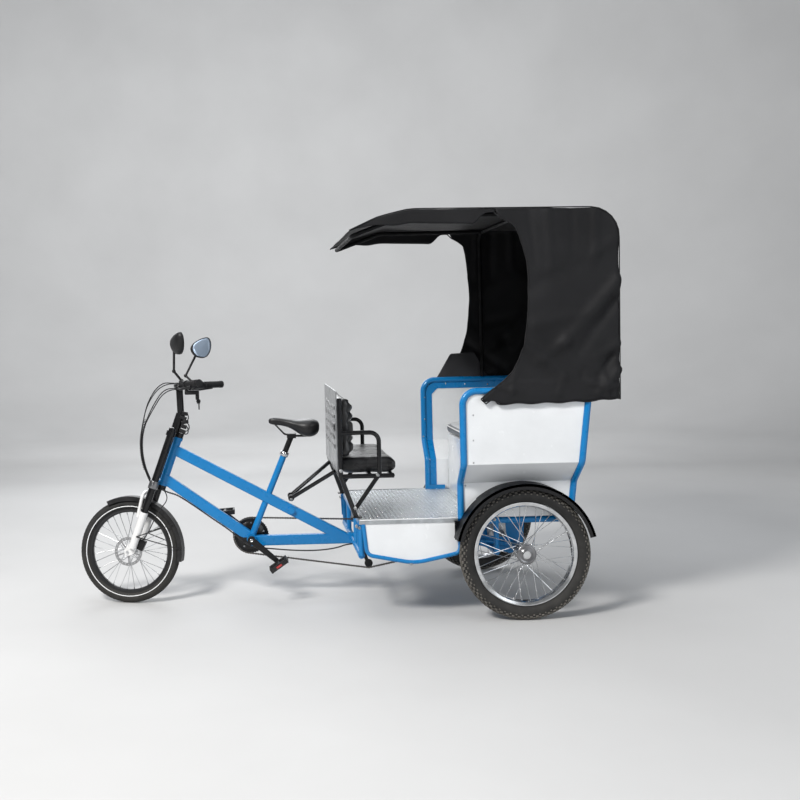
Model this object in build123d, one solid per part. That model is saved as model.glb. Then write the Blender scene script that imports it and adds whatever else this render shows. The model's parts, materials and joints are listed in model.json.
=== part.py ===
"""Cycle rickshaw: front half of a bicycle with a flared passenger body, a canvas hood and a rear-facing bench.

Millimetres. +X points to the front of the vehicle, +Y to its left and +Z up. While it is modelled, X = 0 is the
rear axle and Z = 0 the ground; the finished pieces are moved along X so that the origin lies at the bottom centre.
"""
import os
from math import atan2, cos, hypot, radians, sin, tan

from build123d import *

os.makedirs("parts", exist_ok=True)

# Driving dimensions: wheels and wheelbase
wheelbase = 1834.0
front_tyre_radius = 253.0
front_tyre_width = 48.0
front_rim_radius = 205.0
front_rim_depth = 16.0
front_rim_width = 30.0
front_hub_radius = 24.0
front_hub_width = 64.0
front_dropout_y = 45.0
front_dropout_thickness = 11.0
disc_gap = 4.0
front_spoke_count = 32
rear_tyre_radius = 296.0
rear_tyre_width = 68.0
rear_rim_radius = 233.0
rear_rim_depth = 20.0
rear_rim_width = 46.0
rear_hub_radius = 42.0
rear_hub_width = 72.0
rear_spoke_count = 36
spoke_radius = 1.6
disc_radius = 70.0
disc_thickness = 2.0

# Driving dimensions: front half
head_angle = 70.0
fork_rake = 46.0
steer_rest = -11.0
head_tube_radius = 20.0
head_tube_wall = 2.5
head_tube_length = 248.0
head_tube_start = 360.0
headset_gap = 0.4
frame_tube_depth = 50.0
frame_tube_width = 38.0
front_centre = 601.0
crank_z = 303.0
spine_z = 288.0
spine_rear_x = 92.0
seat_tube_angle = 67.2
seat_tube_radius = 15.9
seat_tube_length = 448.0
seat_post_radius = 13.6
seat_post_show = 92.0
shell_radius = 23.0
shell_half_width = 36.0
crank_axle_radius = 9.0
bearing_gap = 0.4
top_tube_head_z = 765.0
top_tube_run = 423.0
lug_run = 200.0
down_tube_head_z = 623.0

# Driving dimensions: fork, bars and front mudguard
leg_offset = 27.0
leg_half_spacing = 65.0
stanchion_radius = 17.5
lower_leg_radius = 20.0
lower_leg_top = 214.0
steerer_radius = 14.0
crown_height = 24.0
stem_base_length = 88.0
stem_base_radius = 23.0
stem_radius = 17.0
bar_setback = 258.0
bar_z = 1056.0
bar_radius = 11.1
bar_bend_y = 56.0
bar_end_y = 250.0
bar_sweep = 40.0
bar_rise = 14.0
grip_radius = 16.0
grip_length = 128.0
fit_gap = 0.3
mirror_width = 136.0
mirror_height = 104.0
mirror_inward = 35.0
mudguard_radius = 266.0
mudguard_thickness = 2.0
mudguard_width = 60.0
mudguard_front_angle = 65.0
mudguard_rear_angle = 191.0

# Driving dimensions: crankset and chain
crank_length = 170.0
crank_angle = 220.0
crank_offset = 70.0
chainring_teeth = 44
chain_pitch = 12.7
chain_y = -54.0
sprocket_teeth = 22
roller_half = 1.6
tensioner_setback = 109.0
tensioner_z = 148.0
tensioner_teeth = 11
pedal_length = 96.0
pedal_width = 84.0

# Driving dimensions: body
body_half_width = 445.0
body_flare = 93.0
wheel_clearance = 15.0
fender_overhang = 20.0
hood_overhang = 18.0
body_tube_radius = 15.0
rear_bar_radius = 12.0
floor_z = 453.0
foot_room = 1077.0
floor_thickness = 3.0
floor_lip = 14.0
post_front_x = 275.0
post_rear_x = -226.0
body_rear_lean = 70.0
flare_low_z = 612.0
flare_high_z = 706.0
body_top_z = 1035.0
body_corner_radius = 62.0
panel_thickness = 3.0
flange_width = 32.0
flange_thickness = 2.0
apron_low_z = 258.0
apron_end_z = 296.0
apron_setback = 49.0
apron_tube_radius = 9.0
wheel_arch_radius = 322.0
fender_radius = 320.0
fender_thickness = 3.0
fender_front_angle = 13.0
fender_rear_angle = 166.0
seat_front_x = 186.0
seat_top_z = 752.0
cushion_thickness = 58.0

# Driving dimensions: hood
hood_top_z = 1857.0
hood_rear_x = -444.0
hood_hem_drop = 31.0
hood_cloth = 3.0
visor_front_x = 769.0
visor_drop = 91.0
valance_depth = 66.0
hoop_radius = 10.0
hoop_x = -52.0

# Driving dimensions: bench
bench_overhang = 71.0
bench_half_width = 365.0
bench_cushion_half_width = 320.0
bench_tube_radius = 11.0
bench_top_z = 1026.0
bench_seat_z = 652.0
bench_seat_top_z = 715.0
bench_seat_depth = 296.0
armrest_z = 845.0
armrest_reach = 195.0

# Values worked out from the driving dimensions
head_up = Vector(-cos(radians(head_angle)), 0, sin(radians(head_angle)))
head_forward = Vector(sin(radians(head_angle)), 0, cos(radians(head_angle)))
front_axle = Vector(wheelbase, 0, front_tyre_radius)
crank_x = wheelbase - front_centre
top_tube_end_x = crank_x - top_tube_run
bar_x = wheelbase - bar_setback
floor_front_x = wheelbase - foot_room
apron_front_x = floor_front_x - apron_setback
tensioner_x = floor_front_x - tensioner_setback
bench_back_x = floor_front_x + bench_overhang
bench_seat_rear_x = bench_back_x - bench_seat_depth
armrest_x = bench_back_x - armrest_reach
rear_axle_z = rear_tyre_radius
chainring_radius = chain_pitch / 2 / sin(radians(180 / chainring_teeth))
sprocket_radius = chain_pitch / 2 / sin(radians(180 / sprocket_teeth))
tensioner_radius = chain_pitch / 2 / sin(radians(180 / tensioner_teeth))
head_tube_end = head_tube_start + head_tube_length
flare_half_width = body_half_width + body_flare
half_track = body_half_width + wheel_clearance + rear_tyre_width / 2
fender_outer_y = half_track + rear_tyre_width / 2 + fender_overhang
hood_half_width = flare_half_width + hood_overhang
visor_front_z = hood_top_z - visor_drop
hood_hem_z = body_top_z - hood_hem_drop
hoop_y = flare_half_width - hoop_radius + 2.4


def on_head(along, forward=0.0, side=0.0):
    """Point of the unturned steering: along the steering axis from hub height, ahead of it and to its left."""
    foot = front_axle - head_forward * fork_rake
    return foot + head_up * along + head_forward * forward + Vector(0, side, 0)


def rod(start, end, radius):
    """Round bar between two points."""
    start, end = Vector(*start), Vector(*end)
    return extrude(Plane(start, z_dir=end - start) * Circle(radius), (end - start).length)


def pipe(start, end, radius, wall):
    """Open round tube between two points."""
    start, end = Vector(*start), Vector(*end)
    section = Circle(radius) - Circle(radius - wall)
    return extrude(Plane(start, z_dir=end - start) * section, (end - start).length)


def bent(points, radius, bend):
    """Round bar along a path whose corners are arcs; bend is one radius or a list with one for each corner."""
    path = FilletPolyline(*points, radius=bend)
    return sweep(Plane(path @ 0, z_dir=path % 0) * Circle(radius), path=path)


def cable(points, radius):
    """Cable along a hand-picked route, each corner as round as its two runs allow."""
    points = [Vector(*point) for point in points]
    radii = []
    for before, corner, after in zip(points, points[1:], points[2:]):
        first, second = corner - before, after - corner
        turn = radians(first.get_angle(second))
        radii.append(0.45 * min(first.length, second.length) / tan(turn / 2))
    print("cable radii", [round(value) for value in radii])
    return bent(points, radius, radii)


def join(pieces):
    """Weld a list of pieces into one."""
    solids = pieces[0].fuse(*pieces[1:]).solids()
    return solids[0] if len(solids) == 1 else Compound(children=list(solids))


def box_bar(start, end, depth, width):
    """Square-edged bar in the X-Z plane with its depth across its own direction."""
    start, end = Vector(*start), Vector(*end)
    section = RectangleRounded(width, depth, depth * 0.12)
    plane = Plane(start, x_dir=(0, 1, 0), z_dir=end - start)
    return extrude(plane * section, (end - start).length)


def side_plate(points, y_low, y_high):
    """Flat plate parallel to the X-Z plane from a list of (x, z) corners."""
    face = make_face(Polyline(*[(x, y_low, z) for x, z in points], close=True))
    return extrude(face, amount=y_high - y_low, dir=(0, 1, 0))


def mirrored(shape):
    """The same piece on the other side of the vehicle."""
    return mirror(shape, about=Plane.XZ)


def both(shape):
    """A piece and its mirror image as one node of separate solids."""
    return Compound(children=[*shape.solids(), *mirrored(shape).solids()])


def steered(shape):
    """Turn a piece of the steering to its resting angle."""
    return shape.rotate(Axis(on_head(0), head_up), steer_rest)


def wheel_plane(centre):
    """Plane whose normal is the wheel axis."""
    return Plane(centre, x_dir=(1, 0, 0), z_dir=(0, 1, 0))


def tyre(centre, outer, width, rim_radius):
    """Tyre carcass: bead seat, sidewalls, shoulders and crown as flats round the axle."""
    half = width / 2
    depth = outer - rim_radius
    # Columns: share of the depth above the bead seat, share of the half width
    outline = ((0.0, 0.6), (0.14, 0.7), (0.52, 1.0), (0.84, 0.78), (1.0, 0.34))
    right_side = [(rim_radius + depth * rise, half * spread) for rise, spread in outline]
    left_side = [(radius, -across) for radius, across in reversed(right_side)]
    section = make_face(Polyline(*[(radius, 0, across) for radius, across in right_side + left_side], close=True))
    return wheel_plane(centre).location * revolve(section, Axis.Z)


def wire_wheel(centre, rim_radius, rim_depth, rim_width, hub_radius, hub_width, count, crossing):
    """Rim, flanged hub and crossed spokes joined as one laced wheel."""
    rim_inner = rim_radius - rim_depth
    half = rim_width / 2
    # Columns: radius, half width; from the rim's inner face up its wall and into the well
    outline = ((rim_inner, half * 0.5), (rim_inner + 5, half * 0.9), (rim_radius - 4, half),
               (rim_radius, half), (rim_radius, half * 0.8), (rim_inner + rim_depth * 0.5, half * 0.55))
    section = [(radius, 0, across) for radius, across in outline]
    section += [(radius, 0, -across) for radius, _, across in reversed(section)]
    rim = revolve(make_face(Polyline(*section, close=True)), Axis.Z)
    barrel = Cylinder(hub_radius * 0.55, hub_width)
    flange_thickness = 4.0
    flange_at = hub_width / 2 - flange_thickness
    hub = barrel
    for side in (-1, 1):
        hub += Pos(0, 0, side * flange_at) * Cylinder(hub_radius, flange_thickness)
    hole_circle = hub_radius - 4.0
    spokes = []
    for index in range(count):
        side = 1 if index % 2 else -1
        lean = crossing if (index // 2) % 2 else -crossing
        rim_angle = radians(360 / count * (index + 0.5))
        hub_angle = rim_angle + radians(lean)
        start = (hole_circle * cos(hub_angle), hole_circle * sin(hub_angle), side * flange_at)
        reach = rim_inner + 1.5
        end = (reach * cos(rim_angle), reach * sin(rim_angle), side * rim_width * 0.12)
        run = Vector(*end) - Vector(*start)
        spokes.append(extrude(Plane(Vector(*start), z_dir=run) * RegularPolygon(spoke_radius, 5), amount=run.length))
    return wheel_plane(centre).location * (rim + hub + spokes)


def arc_shell(centre_x, centre_z, inner, thickness, y_low, y_high, start_angle, end_angle):
    """Curved sheet about a wheel axis between two angles, counted from the front."""
    segments = []
    for radius in (inner, inner + thickness):
        start = Vector(centre_x + radius * cos(radians(start_angle)), y_low,
                       centre_z + radius * sin(radians(start_angle)))
        middle_angle = radians((start_angle + end_angle) / 2)
        middle = Vector(centre_x + radius * cos(middle_angle), y_low, centre_z + radius * sin(middle_angle))
        end = Vector(centre_x + radius * cos(radians(end_angle)), y_low,
                     centre_z + radius * sin(radians(end_angle)))
        segments.append(ThreePointArc(start, middle, end))
    ends = [Line(segments[0] @ side, segments[1] @ side) for side in (0, 1)]
    face = make_face(segments + ends)
    return extrude(face, amount=y_high - y_low, dir=(0, 1, 0))


def build_front_wheel():
    """Front wheel, its tyre and the brake disc on the hub's left."""
    hub = front_axle
    wheel = wire_wheel(hub, front_rim_radius, front_rim_depth, front_rim_width, front_hub_radius,
                       front_hub_width, front_spoke_count, 62)
    axle_end = front_dropout_y + front_dropout_thickness + 6
    wheel += rod(hub - Vector(0, axle_end, 0), hub + Vector(0, axle_end, 0), 7)
    disc_y = front_hub_width / 2 + disc_gap
    disc = Cylinder(disc_radius, disc_thickness) - Cylinder(disc_radius - 14, disc_thickness)
    for index in range(5):
        disc += Rot(0, 0, 72 * index + 20) * Pos(disc_radius / 2 - 4, 0, 0) * Box(disc_radius - 12, 7, disc_thickness)
    disc += Cylinder(20, disc_thickness)
    disc -= Cylinder(7.2, disc_thickness)
    for index in range(24):
        disc -= Rot(0, 0, 15 * index) * Pos(disc_radius - 7, 0, 0) * Cylinder(2.2, disc_thickness)
    disc = wheel_plane(hub + Vector(0, disc_y, 0)).location * disc
    return {
        "front_tyre": steered(tyre(hub, front_tyre_radius, front_tyre_width, front_rim_radius)),
        "front_wheel": steered(wheel),
        "brake_disc": steered(disc),
    }


def build_rear_wheels():
    """Two laced rear wheels with their tyres."""
    nodes = {}
    for name, side in (("left", 1), ("right", -1)):
        centre = Vector(0, side * half_track, rear_axle_z)
        wheel = wire_wheel(centre, rear_rim_radius, rear_rim_depth, rear_rim_width, rear_hub_radius,
                           rear_hub_width, rear_spoke_count, 52)
        cap_face = centre + Vector(0, side * rear_hub_width / 2, 0)
        wheel += rod(cap_face, cap_face + Vector(0, side * 9, 0), 17)
        nodes[f"{name}_rear_tyre"] = tyre(centre, rear_tyre_radius, rear_tyre_width, rear_rim_radius)
        nodes[f"{name}_rear_wheel"] = wheel
    return nodes


def build_steering():
    """Fork, bars and what turns with them."""
    nodes = {}
    crown_low = head_tube_start - headset_gap - crown_height
    crown_high = head_tube_end + headset_gap
    crown_front = leg_offset * 0.75 + 13
    tilt = Plane(on_head(0), x_dir=(0, 1, 0), z_dir=head_up)  # its y axis points back

    def crown(level):
        """Double-crown bridge with a clamp on each stanchion."""
        arms = Pos(0, 13 - crown_front, 0) * RectangleRounded(2 * leg_half_spacing, 26, 8)
        neck = Pos(0, -leg_offset / 2, 0) * RectangleRounded(46, leg_offset + 24, 10)
        outline = arms + neck + Circle(steerer_radius + 8)
        for side in (-1, 1):
            outline += Pos(side * leg_half_spacing, -leg_offset) * Circle(stanchion_radius + 6)
        return extrude(tilt.offset(level) * outline, crown_height)

    uppers = crown(crown_low) + crown(crown_high)
    stanchion_top = crown_high + crown_height + 14
    for side in (-1, 1):
        foot = on_head(lower_leg_top, leg_offset, side * leg_half_spacing)
        top = on_head(stanchion_top, leg_offset, side * leg_half_spacing)
        uppers += rod(foot, top, stanchion_radius)
    uppers += rod(on_head(crown_low), on_head(crown_high + crown_height), steerer_radius)
    nodes["fork_uppers"] = steered(uppers)

    lowers = []
    dropout_y = front_dropout_y
    for side in (-1, 1):
        top = on_head(lower_leg_top - headset_gap, leg_offset, side * leg_half_spacing)
        foot = on_head(28, leg_offset, side * leg_half_spacing)
        leg = rod(foot, top, lower_leg_radius)
        y_low, y_high = sorted((side * dropout_y, side * (dropout_y + front_dropout_thickness)))
        tip = front_axle
        corners = [(tip.X + 14, tip.Z - 16), (tip.X + 16, tip.Z + 10), (foot.X + 18, foot.Z + 22),
                   (foot.X - 18, foot.Z + 8), (foot.X - 6, foot.Z - 26), (tip.X - 10, tip.Z - 18)]
        plate = side_plate(corners, y_low, y_high)
        plate -= rod(front_axle + Vector(0, y_low, 0), front_axle + Vector(0, y_high, 0), 7.3)
        lowers.extend([leg, plate])
    arch_level = mudguard_radius + mudguard_thickness + 18
    arch = [
        on_head(lower_leg_top - 34, leg_offset + 24, leg_half_spacing),
        on_head(arch_level, leg_offset + 38, leg_half_spacing - 8),
        on_head(arch_level + 14, leg_offset + 40, 0),
        on_head(arch_level, leg_offset + 38, 8 - leg_half_spacing),
        on_head(lower_leg_top - 34, leg_offset + 24, -leg_half_spacing),
    ]
    lowers.append(bent(arch, 8.5, [22, 60, 22]))
    lowers = join(lowers)
    nodes["fork_lowers"] = steered(lowers)

    stem_foot = on_head(crown_high + crown_height, leg_offset)
    column_foot = on_head(crown_high + crown_height + stem_base_length, leg_offset)
    bar_clamp = Vector(bar_x, 0, bar_z)
    stem = rod(stem_foot, column_foot, stem_base_radius)
    stem += bent([stem_foot, column_foot, bar_clamp], stem_radius, 40)
    stem += rod(bar_clamp - Vector(0, 26, 0), bar_clamp + Vector(0, 26, 0), bar_radius + 8)
    along = Vector(-sin(radians(bar_sweep)), cos(radians(bar_sweep)), 0)
    bend = bar_clamp + Vector(6, bar_bend_y, bar_rise * 0.5)
    swept = (bar_end_y - bar_bend_y) / cos(radians(bar_sweep))
    grip_end = bend + along * swept + Vector(0, 0, bar_rise * 0.5)
    along = (grip_end - bend).normalized()
    half_bar = bent([bar_clamp, bend, grip_end], bar_radius, 38)
    nodes["handlebar"] = steered(join([stem, half_bar, mirrored(half_bar)]))

    def sleeve(start, end, radius):
        """Collar on the bar with a hand's fit to it."""
        return rod(start, end, radius) - rod(start, end, bar_radius + fit_gap)

    grip_start = grip_end - along * (grip_length - 8)
    grip = sleeve(grip_start, grip_end, grip_radius)
    grip += rod(grip_end + along * fit_gap, grip_end + along * 8, grip_radius + 2)
    grip += sleeve(grip_end - along * 6, grip_end + along * 2, grip_radius + 2)
    nodes["grips"] = steered(both(grip))

    pod_end = grip_start - along * 1
    pod_start = pod_end - along * 50
    perch_start = pod_start - along * 22
    controls = [sleeve(pod_start, pod_end, 20), sleeve(perch_start, pod_start, 16)]
    perch_mid = (perch_start + pod_start) / 2
    ahead = Vector(along.Y, -along.X, 0)
    pivot = perch_mid + ahead * 22 + Vector(0, 0, -16)
    controls.append(rod(perch_mid + ahead * 13.5, pivot, 9))
    controls.append(rod(pivot + Vector(0, 0, -8), pivot + Vector(0, 0, 8), 9))
    blade = [pivot, pivot + along * 66 + ahead * 16 + Vector(0, 0, -8), pivot + along * 146 + ahead * 2]
    controls.append(bent(blade, 5.5, 60))
    bar_room = rod(perch_start - along * 20, grip_end, bar_radius + fit_gap)
    nodes["bar_controls"] = steered(both(join(controls) - bar_room))

    foot = perch_mid + Vector(0, 0, 16 + fit_gap)
    elbow = Vector(bar_x + 2, 112, bar_z + 70)
    neck = Vector(bar_x - 34, 196, bar_z + 152)
    centre = Vector(bar_x - 59, 225, bar_z + 203)
    stalk = [bent([foot + Vector(0, 0, 14), elbow, neck, centre + Vector(8, 4, -20)], 5, [20, 24]),
             rod(foot, foot + Vector(0, 0, 22), 9)]
    inward = radians(mirror_inward)
    back = Plane(centre, x_dir=(-sin(inward), cos(inward), 0), z_dir=(-cos(inward), -sin(inward), 0.05))
    outline = RectangleRounded(mirror_width, mirror_height, mirror_height * 0.38)
    housing = extrude(back * outline, 6) + extrude(back * outline, -20, taper=24)
    pocket = extrude(back.offset(3.0) * offset(outline, -5), 3)
    glass = extrude(back.offset(3.2) * offset(outline, -5.3), 2)
    nodes["mirror_housings"] = steered(both(join([housing - pocket, *stalk]) - pocket))
    nodes["mirror_glasses"] = steered(both(glass))

    guard = arc_shell(front_axle.X, front_axle.Z, mudguard_radius, mudguard_thickness, -mudguard_width / 2,
                      mudguard_width / 2, mudguard_front_angle, mudguard_rear_angle)
    stays = Part()
    stay_y = mudguard_width / 2 + 3
    for side in (-1, 1):
        for angle in (150, 178):
            tip = Vector(front_axle.X + mudguard_radius * cos(radians(angle)), side * stay_y,
                         front_axle.Z + mudguard_radius * sin(radians(angle)))
            hold = on_head(92, leg_offset - 6, side * (leg_half_spacing + lower_leg_radius + 2))
            stays += rod(hold, tip, 2.5)
            stays += rod(tip, tip - Vector(0, side * 4, 0), 2.5)
    nodes["front_mudguard"] = steered(guard + stays)

    disc_plane = wheel_plane(front_axle + Vector(0, front_hub_width / 2 + disc_gap, 0))
    caliper_at = Vector(front_axle.X - 66, front_hub_width / 2 + disc_gap + 5, front_axle.Z + 34)
    caliper = Pos(*caliper_at) * Rot(0, -26, 0) * Box(40, 30, 52)
    caliper = fillet(caliper.edges(), 5)
    caliper -= disc_plane.location * Cylinder(disc_radius + 4, disc_thickness + 2)
    caliper -= disc_plane.location * Pos(0, 0, -30) * Cylinder(disc_radius - 16, 60)
    caliper -= lowers
    nodes["brake_caliper"] = steered(max(caliper.solids(), key=lambda solid: solid.volume))

    # Columns: distance ahead of the bar clamp, side, height above it
    bundle_route = ((26, 32, 0), (88, 40, 4), (146, 44, -66), (176, 46, -166), (188, 46, -280), (174, 44, -388))
    bundle_points = [*(bar_clamp + Vector(*step) for step in bundle_route), on_head(crown_low + crown_height / 2, crown_front + 4.8 + fit_gap, 34)]
    nodes["cable_bundle"] = steered(cable(bundle_points, 6.5))
    return nodes


def build_front_frame():
    """Welded tubes between the head and the passenger body."""
    head_bottom = on_head(head_tube_start)
    head_top = on_head(head_tube_end)
    outside = rod(head_bottom, head_top, head_tube_radius)
    head = outside - rod(head_bottom, head_top, head_tube_radius - head_tube_wall)
    for level, height in ((head_tube_start, 14), (head_tube_end - 14, 14)):
        collar = rod(on_head(level), on_head(level + height), head_tube_radius + 4)
        head += collar - rod(on_head(level), on_head(level + height), steerer_radius + 0.5)
    keep_out = rod(head_bottom, head_top, head_tube_radius)
    for level in (head_tube_start, head_tube_end - 14):
        keep_out += rod(on_head(level), on_head(level + 14), head_tube_radius + 4)

    def head_point(level_z):
        along = (level_z - front_axle.Z) / head_up.Z
        return on_head(along)

    spine_end = Vector(spine_rear_x, 0, spine_z)
    spine_start = Vector(crank_x, 0, spine_z)
    spine = box_bar(spine_start, spine_end, frame_tube_depth, frame_tube_width)
    crank = Vector(crank_x, 0, crank_z)
    shell = pipe(crank - Vector(0, shell_half_width, 0), crank + Vector(0, shell_half_width, 0), shell_radius,
                 shell_radius - crank_axle_radius - bearing_gap)
    shell_solid = rod(crank - Vector(0, shell_half_width, 0), crank + Vector(0, shell_half_width, 0), shell_radius)
    spine = spine - shell_solid + shell

    top_start = head_point(top_tube_head_z)
    top_end = Vector(top_tube_end_x, 0, spine_z + frame_tube_depth / 2)
    direction = (top_end - top_start).normalized()
    top = box_bar(top_start, top_end + direction * 60, frame_tube_depth, frame_tube_width)
    spine_block = box_bar(spine_start + Vector(80, 0, 0), spine_end, frame_tube_depth, frame_tube_width)
    below = Pos(top_tube_end_x, 0, spine_z - 200) * Box(900, 200, 2 * 200)
    top = top - keep_out - spine_block - below

    lug_at = top_start + direction * ((top_start.X - crank_x + lug_run) / -direction.X)
    lug = rod(lug_at - Vector(0, 34, 0), lug_at + Vector(0, 34, 0), 16)
    top += lug

    down_start = head_point(down_tube_head_z)
    down = box_bar(down_start, Vector(crank_x, 0, crank_z), frame_tube_depth, frame_tube_width)
    down = down - keep_out - shell_solid - spine_block - top

    seat_up = Vector(-cos(radians(seat_tube_angle)), 0, sin(radians(seat_tube_angle)))
    seat_top = crank + seat_up * seat_tube_length
    seat = pipe(crank, seat_top, seat_tube_radius, 2.0)
    seat = seat - shell_solid - spine_block - top - down
    seat = Compound(children=[solid for solid in seat.solids() if solid.volume > 3000])

    clamp_low = seat_top - seat_up * 14
    clamp_top = seat_top + seat_up * 8
    clamp = rod(clamp_low, clamp_top, seat_tube_radius + 4) - rod(clamp_low, seat_top, seat_tube_radius + 0.05)
    post_end = seat_top + seat_up * seat_post_show
    clamp += rod(seat_top - seat_up * 60, post_end, seat_post_radius)
    clamp += Pos(*(post_end + Vector(0, 0, 2))) * Box(44, 52, 22)
    # Columns: distance ahead of the post's end, side, height
    rail = [post_end + Vector(*point) for point in ((-84, 20, -0.4), (-30, 20, 0), (34, 14, 10), (80, 4, 59.2))]
    rail = bent(rail, 3.5, [40, 20])
    clamp = join([clamp, rail, mirrored(rail)])
    return {"head_tube": head, "top_tube": top, "down_tube": down, "seat_tube": seat, "spine_tube": spine,
            "seat_post": clamp}, post_end


def build_saddle(post_end):
    """Padded saddle, nose up, lofted through sections along its length."""
    sections = []
    # Columns: distance ahead of the post, half width, top height, bottom height, all from the post's end
    for ahead, half_width, top, bottom in ((-140, 62, 50, -8), (-118, 88, 60, -6), (-62, 82, 71, 10),
                                           (0, 46, 82, 34), (66, 26, 100, 62), (112, 17, 90, 66)):
        height = top - bottom
        plane = Plane(post_end + Vector(ahead, 0, bottom + height / 2), x_dir=(0, 1, 0), z_dir=(1, 0, 0))
        sections.append(plane * RectangleRounded(2 * half_width, height, min(half_width, height / 2) * 0.8))
    return {"saddle": loft(sections, ruled=True)}


def build_crankset():
    """Chainring, arms and pedals; the left arm points back and down."""
    crank = Vector(crank_x, 0, crank_z)
    axle = rod(crank - Vector(0, crank_offset, 0), crank + Vector(0, crank_offset, 0), crank_axle_radius)
    tip_radius = chainring_radius - roller_half - bearing_gap
    ring = Cylinder(tip_radius, 4)
    for index in range(chainring_teeth):
        ring -= Rot(0, 0, 360 / chainring_teeth * index) * Pos(tip_radius + 1.4, 0, 0) * Cylinder(3.6, 4)
    for index in range(5):
        ring -= Rot(0, 0, 72 * index + 36) * Pos(tip_radius * 0.6, 0, 0) * Cylinder(tip_radius * 0.22, 4)
    ring = wheel_plane(crank + Vector(0, chain_y, 0)).location * ring
    arms = axle + ring
    nodes = {}
    # Columns: pedal name, side of the vehicle, arm angle from the front
    for name, side, angle in (("left_pedal", 1, crank_angle), ("right_pedal", -1, crank_angle - 180)):
        way = Vector(cos(radians(angle)), 0, sin(radians(angle)))
        hub = crank + Vector(0, side * crank_offset, 0)
        eye = hub + way * crank_length + Vector(0, side * 8, 0)
        taper = loft([Plane(hub, x_dir=(0, 1, 0), z_dir=eye - hub) * RectangleRounded(14, 34, 5),
                      Plane(eye, x_dir=(0, 1, 0), z_dir=eye - hub) * RectangleRounded(12, 24, 5)])
        arms += taper
        arms += rod(hub - Vector(0, side * 9, 0), hub + Vector(0, side * 9, 0), 19)
        arms += rod(eye - Vector(0, side * 6.5, 0), eye + Vector(0, side * 6.5, 0), 13)
        spindle_end = eye + Vector(0, side * (pedal_width + 10), 0)
        arms += rod(eye, spindle_end, 5)
        middle = eye + Vector(0, side * (pedal_width / 2 + 9), 0)
        cage = Box(pedal_length, pedal_width, 22) - Box(pedal_length - 16, pedal_width - 14, 22)
        cage = fillet(cage.edges().filter_by(Axis.Z), 4)
        cage += Rot(90, 0, 0) * Cylinder(10, pedal_width - 2)
        cage -= Rot(90, 0, 0) * Cylinder(5.1, pedal_width + 4)
        tilt = 30 if side > 0 else -4
        nodes[name] = Pos(*middle) * Rot(0, -tilt, 0) * cage
    nodes["crankset"] = arms
    return nodes


def tangent_loop(circles, inset):
    """Closed belt line round circles given in order as (x, z, radius, side); side is 1 outside, -1 pressed in."""
    edges = []
    touches = []
    total = len(circles)
    for index in range(total):
        x_a, z_a, r_a, s_a = circles[index]
        x_b, z_b, r_b, s_b = circles[(index + 1) % total]
        r_a, r_b = (r_a + inset * s_a) * s_a, (r_b + inset * s_b) * s_b
        distance = hypot(x_b - x_a, z_b - z_a)
        heading = atan2(z_b - z_a, x_b - x_a)
        turn = atan2((r_b - r_a), (distance ** 2 - (r_b - r_a) ** 2) ** 0.5)
        normal = heading - radians(90) - turn
        touches.append(((x_a + r_a * cos(normal), z_a + r_a * sin(normal)),
                        (x_b + r_b * cos(normal), z_b + r_b * sin(normal))))
    for index in range(total):
        x_a, z_a, r_a, s_a = circles[index]
        arrive = touches[index - 1][1]
        leave = touches[index][0]
        radius = r_a + inset * s_a
        start = atan2(arrive[1] - z_a, arrive[0] - x_a)
        stop = atan2(leave[1] - z_a, leave[0] - x_a)
        sweep_angle = (stop - start) % radians(360)
        if s_a < 0:
            sweep_angle -= radians(360)
        middle = start + sweep_angle / 2
        edges.append(ThreePointArc((arrive[0], 0, arrive[1]),
                                   (x_a + radius * cos(middle), 0, z_a + radius * sin(middle)),
                                   (leave[0], 0, leave[1])))
        edges.append(Line((leave[0], 0, leave[1]), (touches[index][1][0], 0, touches[index][1][1])))
    return edges


def build_drive():
    """Chain in its loop, axle sprocket and the tensioner below the spine."""
    circles = [(crank_x, crank_z, chainring_radius, 1), (0, rear_axle_z, sprocket_radius, 1),
               (tensioner_x, tensioner_z + 0, tensioner_radius, 1)]
    order = [circles[1], circles[2], circles[0]]
    half_plate = 4.2
    outer = make_face(tangent_loop(order, half_plate))
    inner = make_face(tangent_loop(order, -half_plate))
    band = outer - inner
    plates = []
    for offset_y in (-4.2, 2.8):
        plates.append(extrude(Pos(0, chain_y + offset_y, 0) * band, amount=1.4, dir=(0, 1, 0)))
    roller_outer = make_face(tangent_loop(order, roller_half))
    roller_inner = make_face(tangent_loop(order, -roller_half))
    rollers = extrude(Pos(0, chain_y - 4.2, 0) * (roller_outer - roller_inner), amount=8.4, dir=(0, 1, 0))
    chain = rollers + plates
    tip = tensioner_radius - roller_half - bearing_gap
    hub = Vector(tensioner_x, chain_y, tensioner_z)
    wheel = wheel_plane(hub).location * Cylinder(tip, 3)
    wheel += rod(hub - Vector(0, 9, 0), hub + Vector(0, 9, 0), 6)
    hang = Vector(tensioner_x + 46, chain_y + 12, spine_z - frame_tube_depth / 2)
    arm = side_plate([(hub.X - 9, hub.Z - 8), (hub.X + 9, hub.Z - 8), (hang.X + 12, hang.Z), (hang.X - 12, hang.Z)],
                     chain_y + 8, chain_y + 13)
    foot_low = Vector(hang.X, chain_y + 8, hang.Z - 6)
    arm += Pos(foot_low.X, (chain_y + 8 + frame_tube_width / 2) / 2, hang.Z - 3) * Box(
        24, frame_tube_width / 2 - chain_y - 8, 6)
    return {"chain": chain, "chain_tensioner": wheel + arm}


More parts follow.
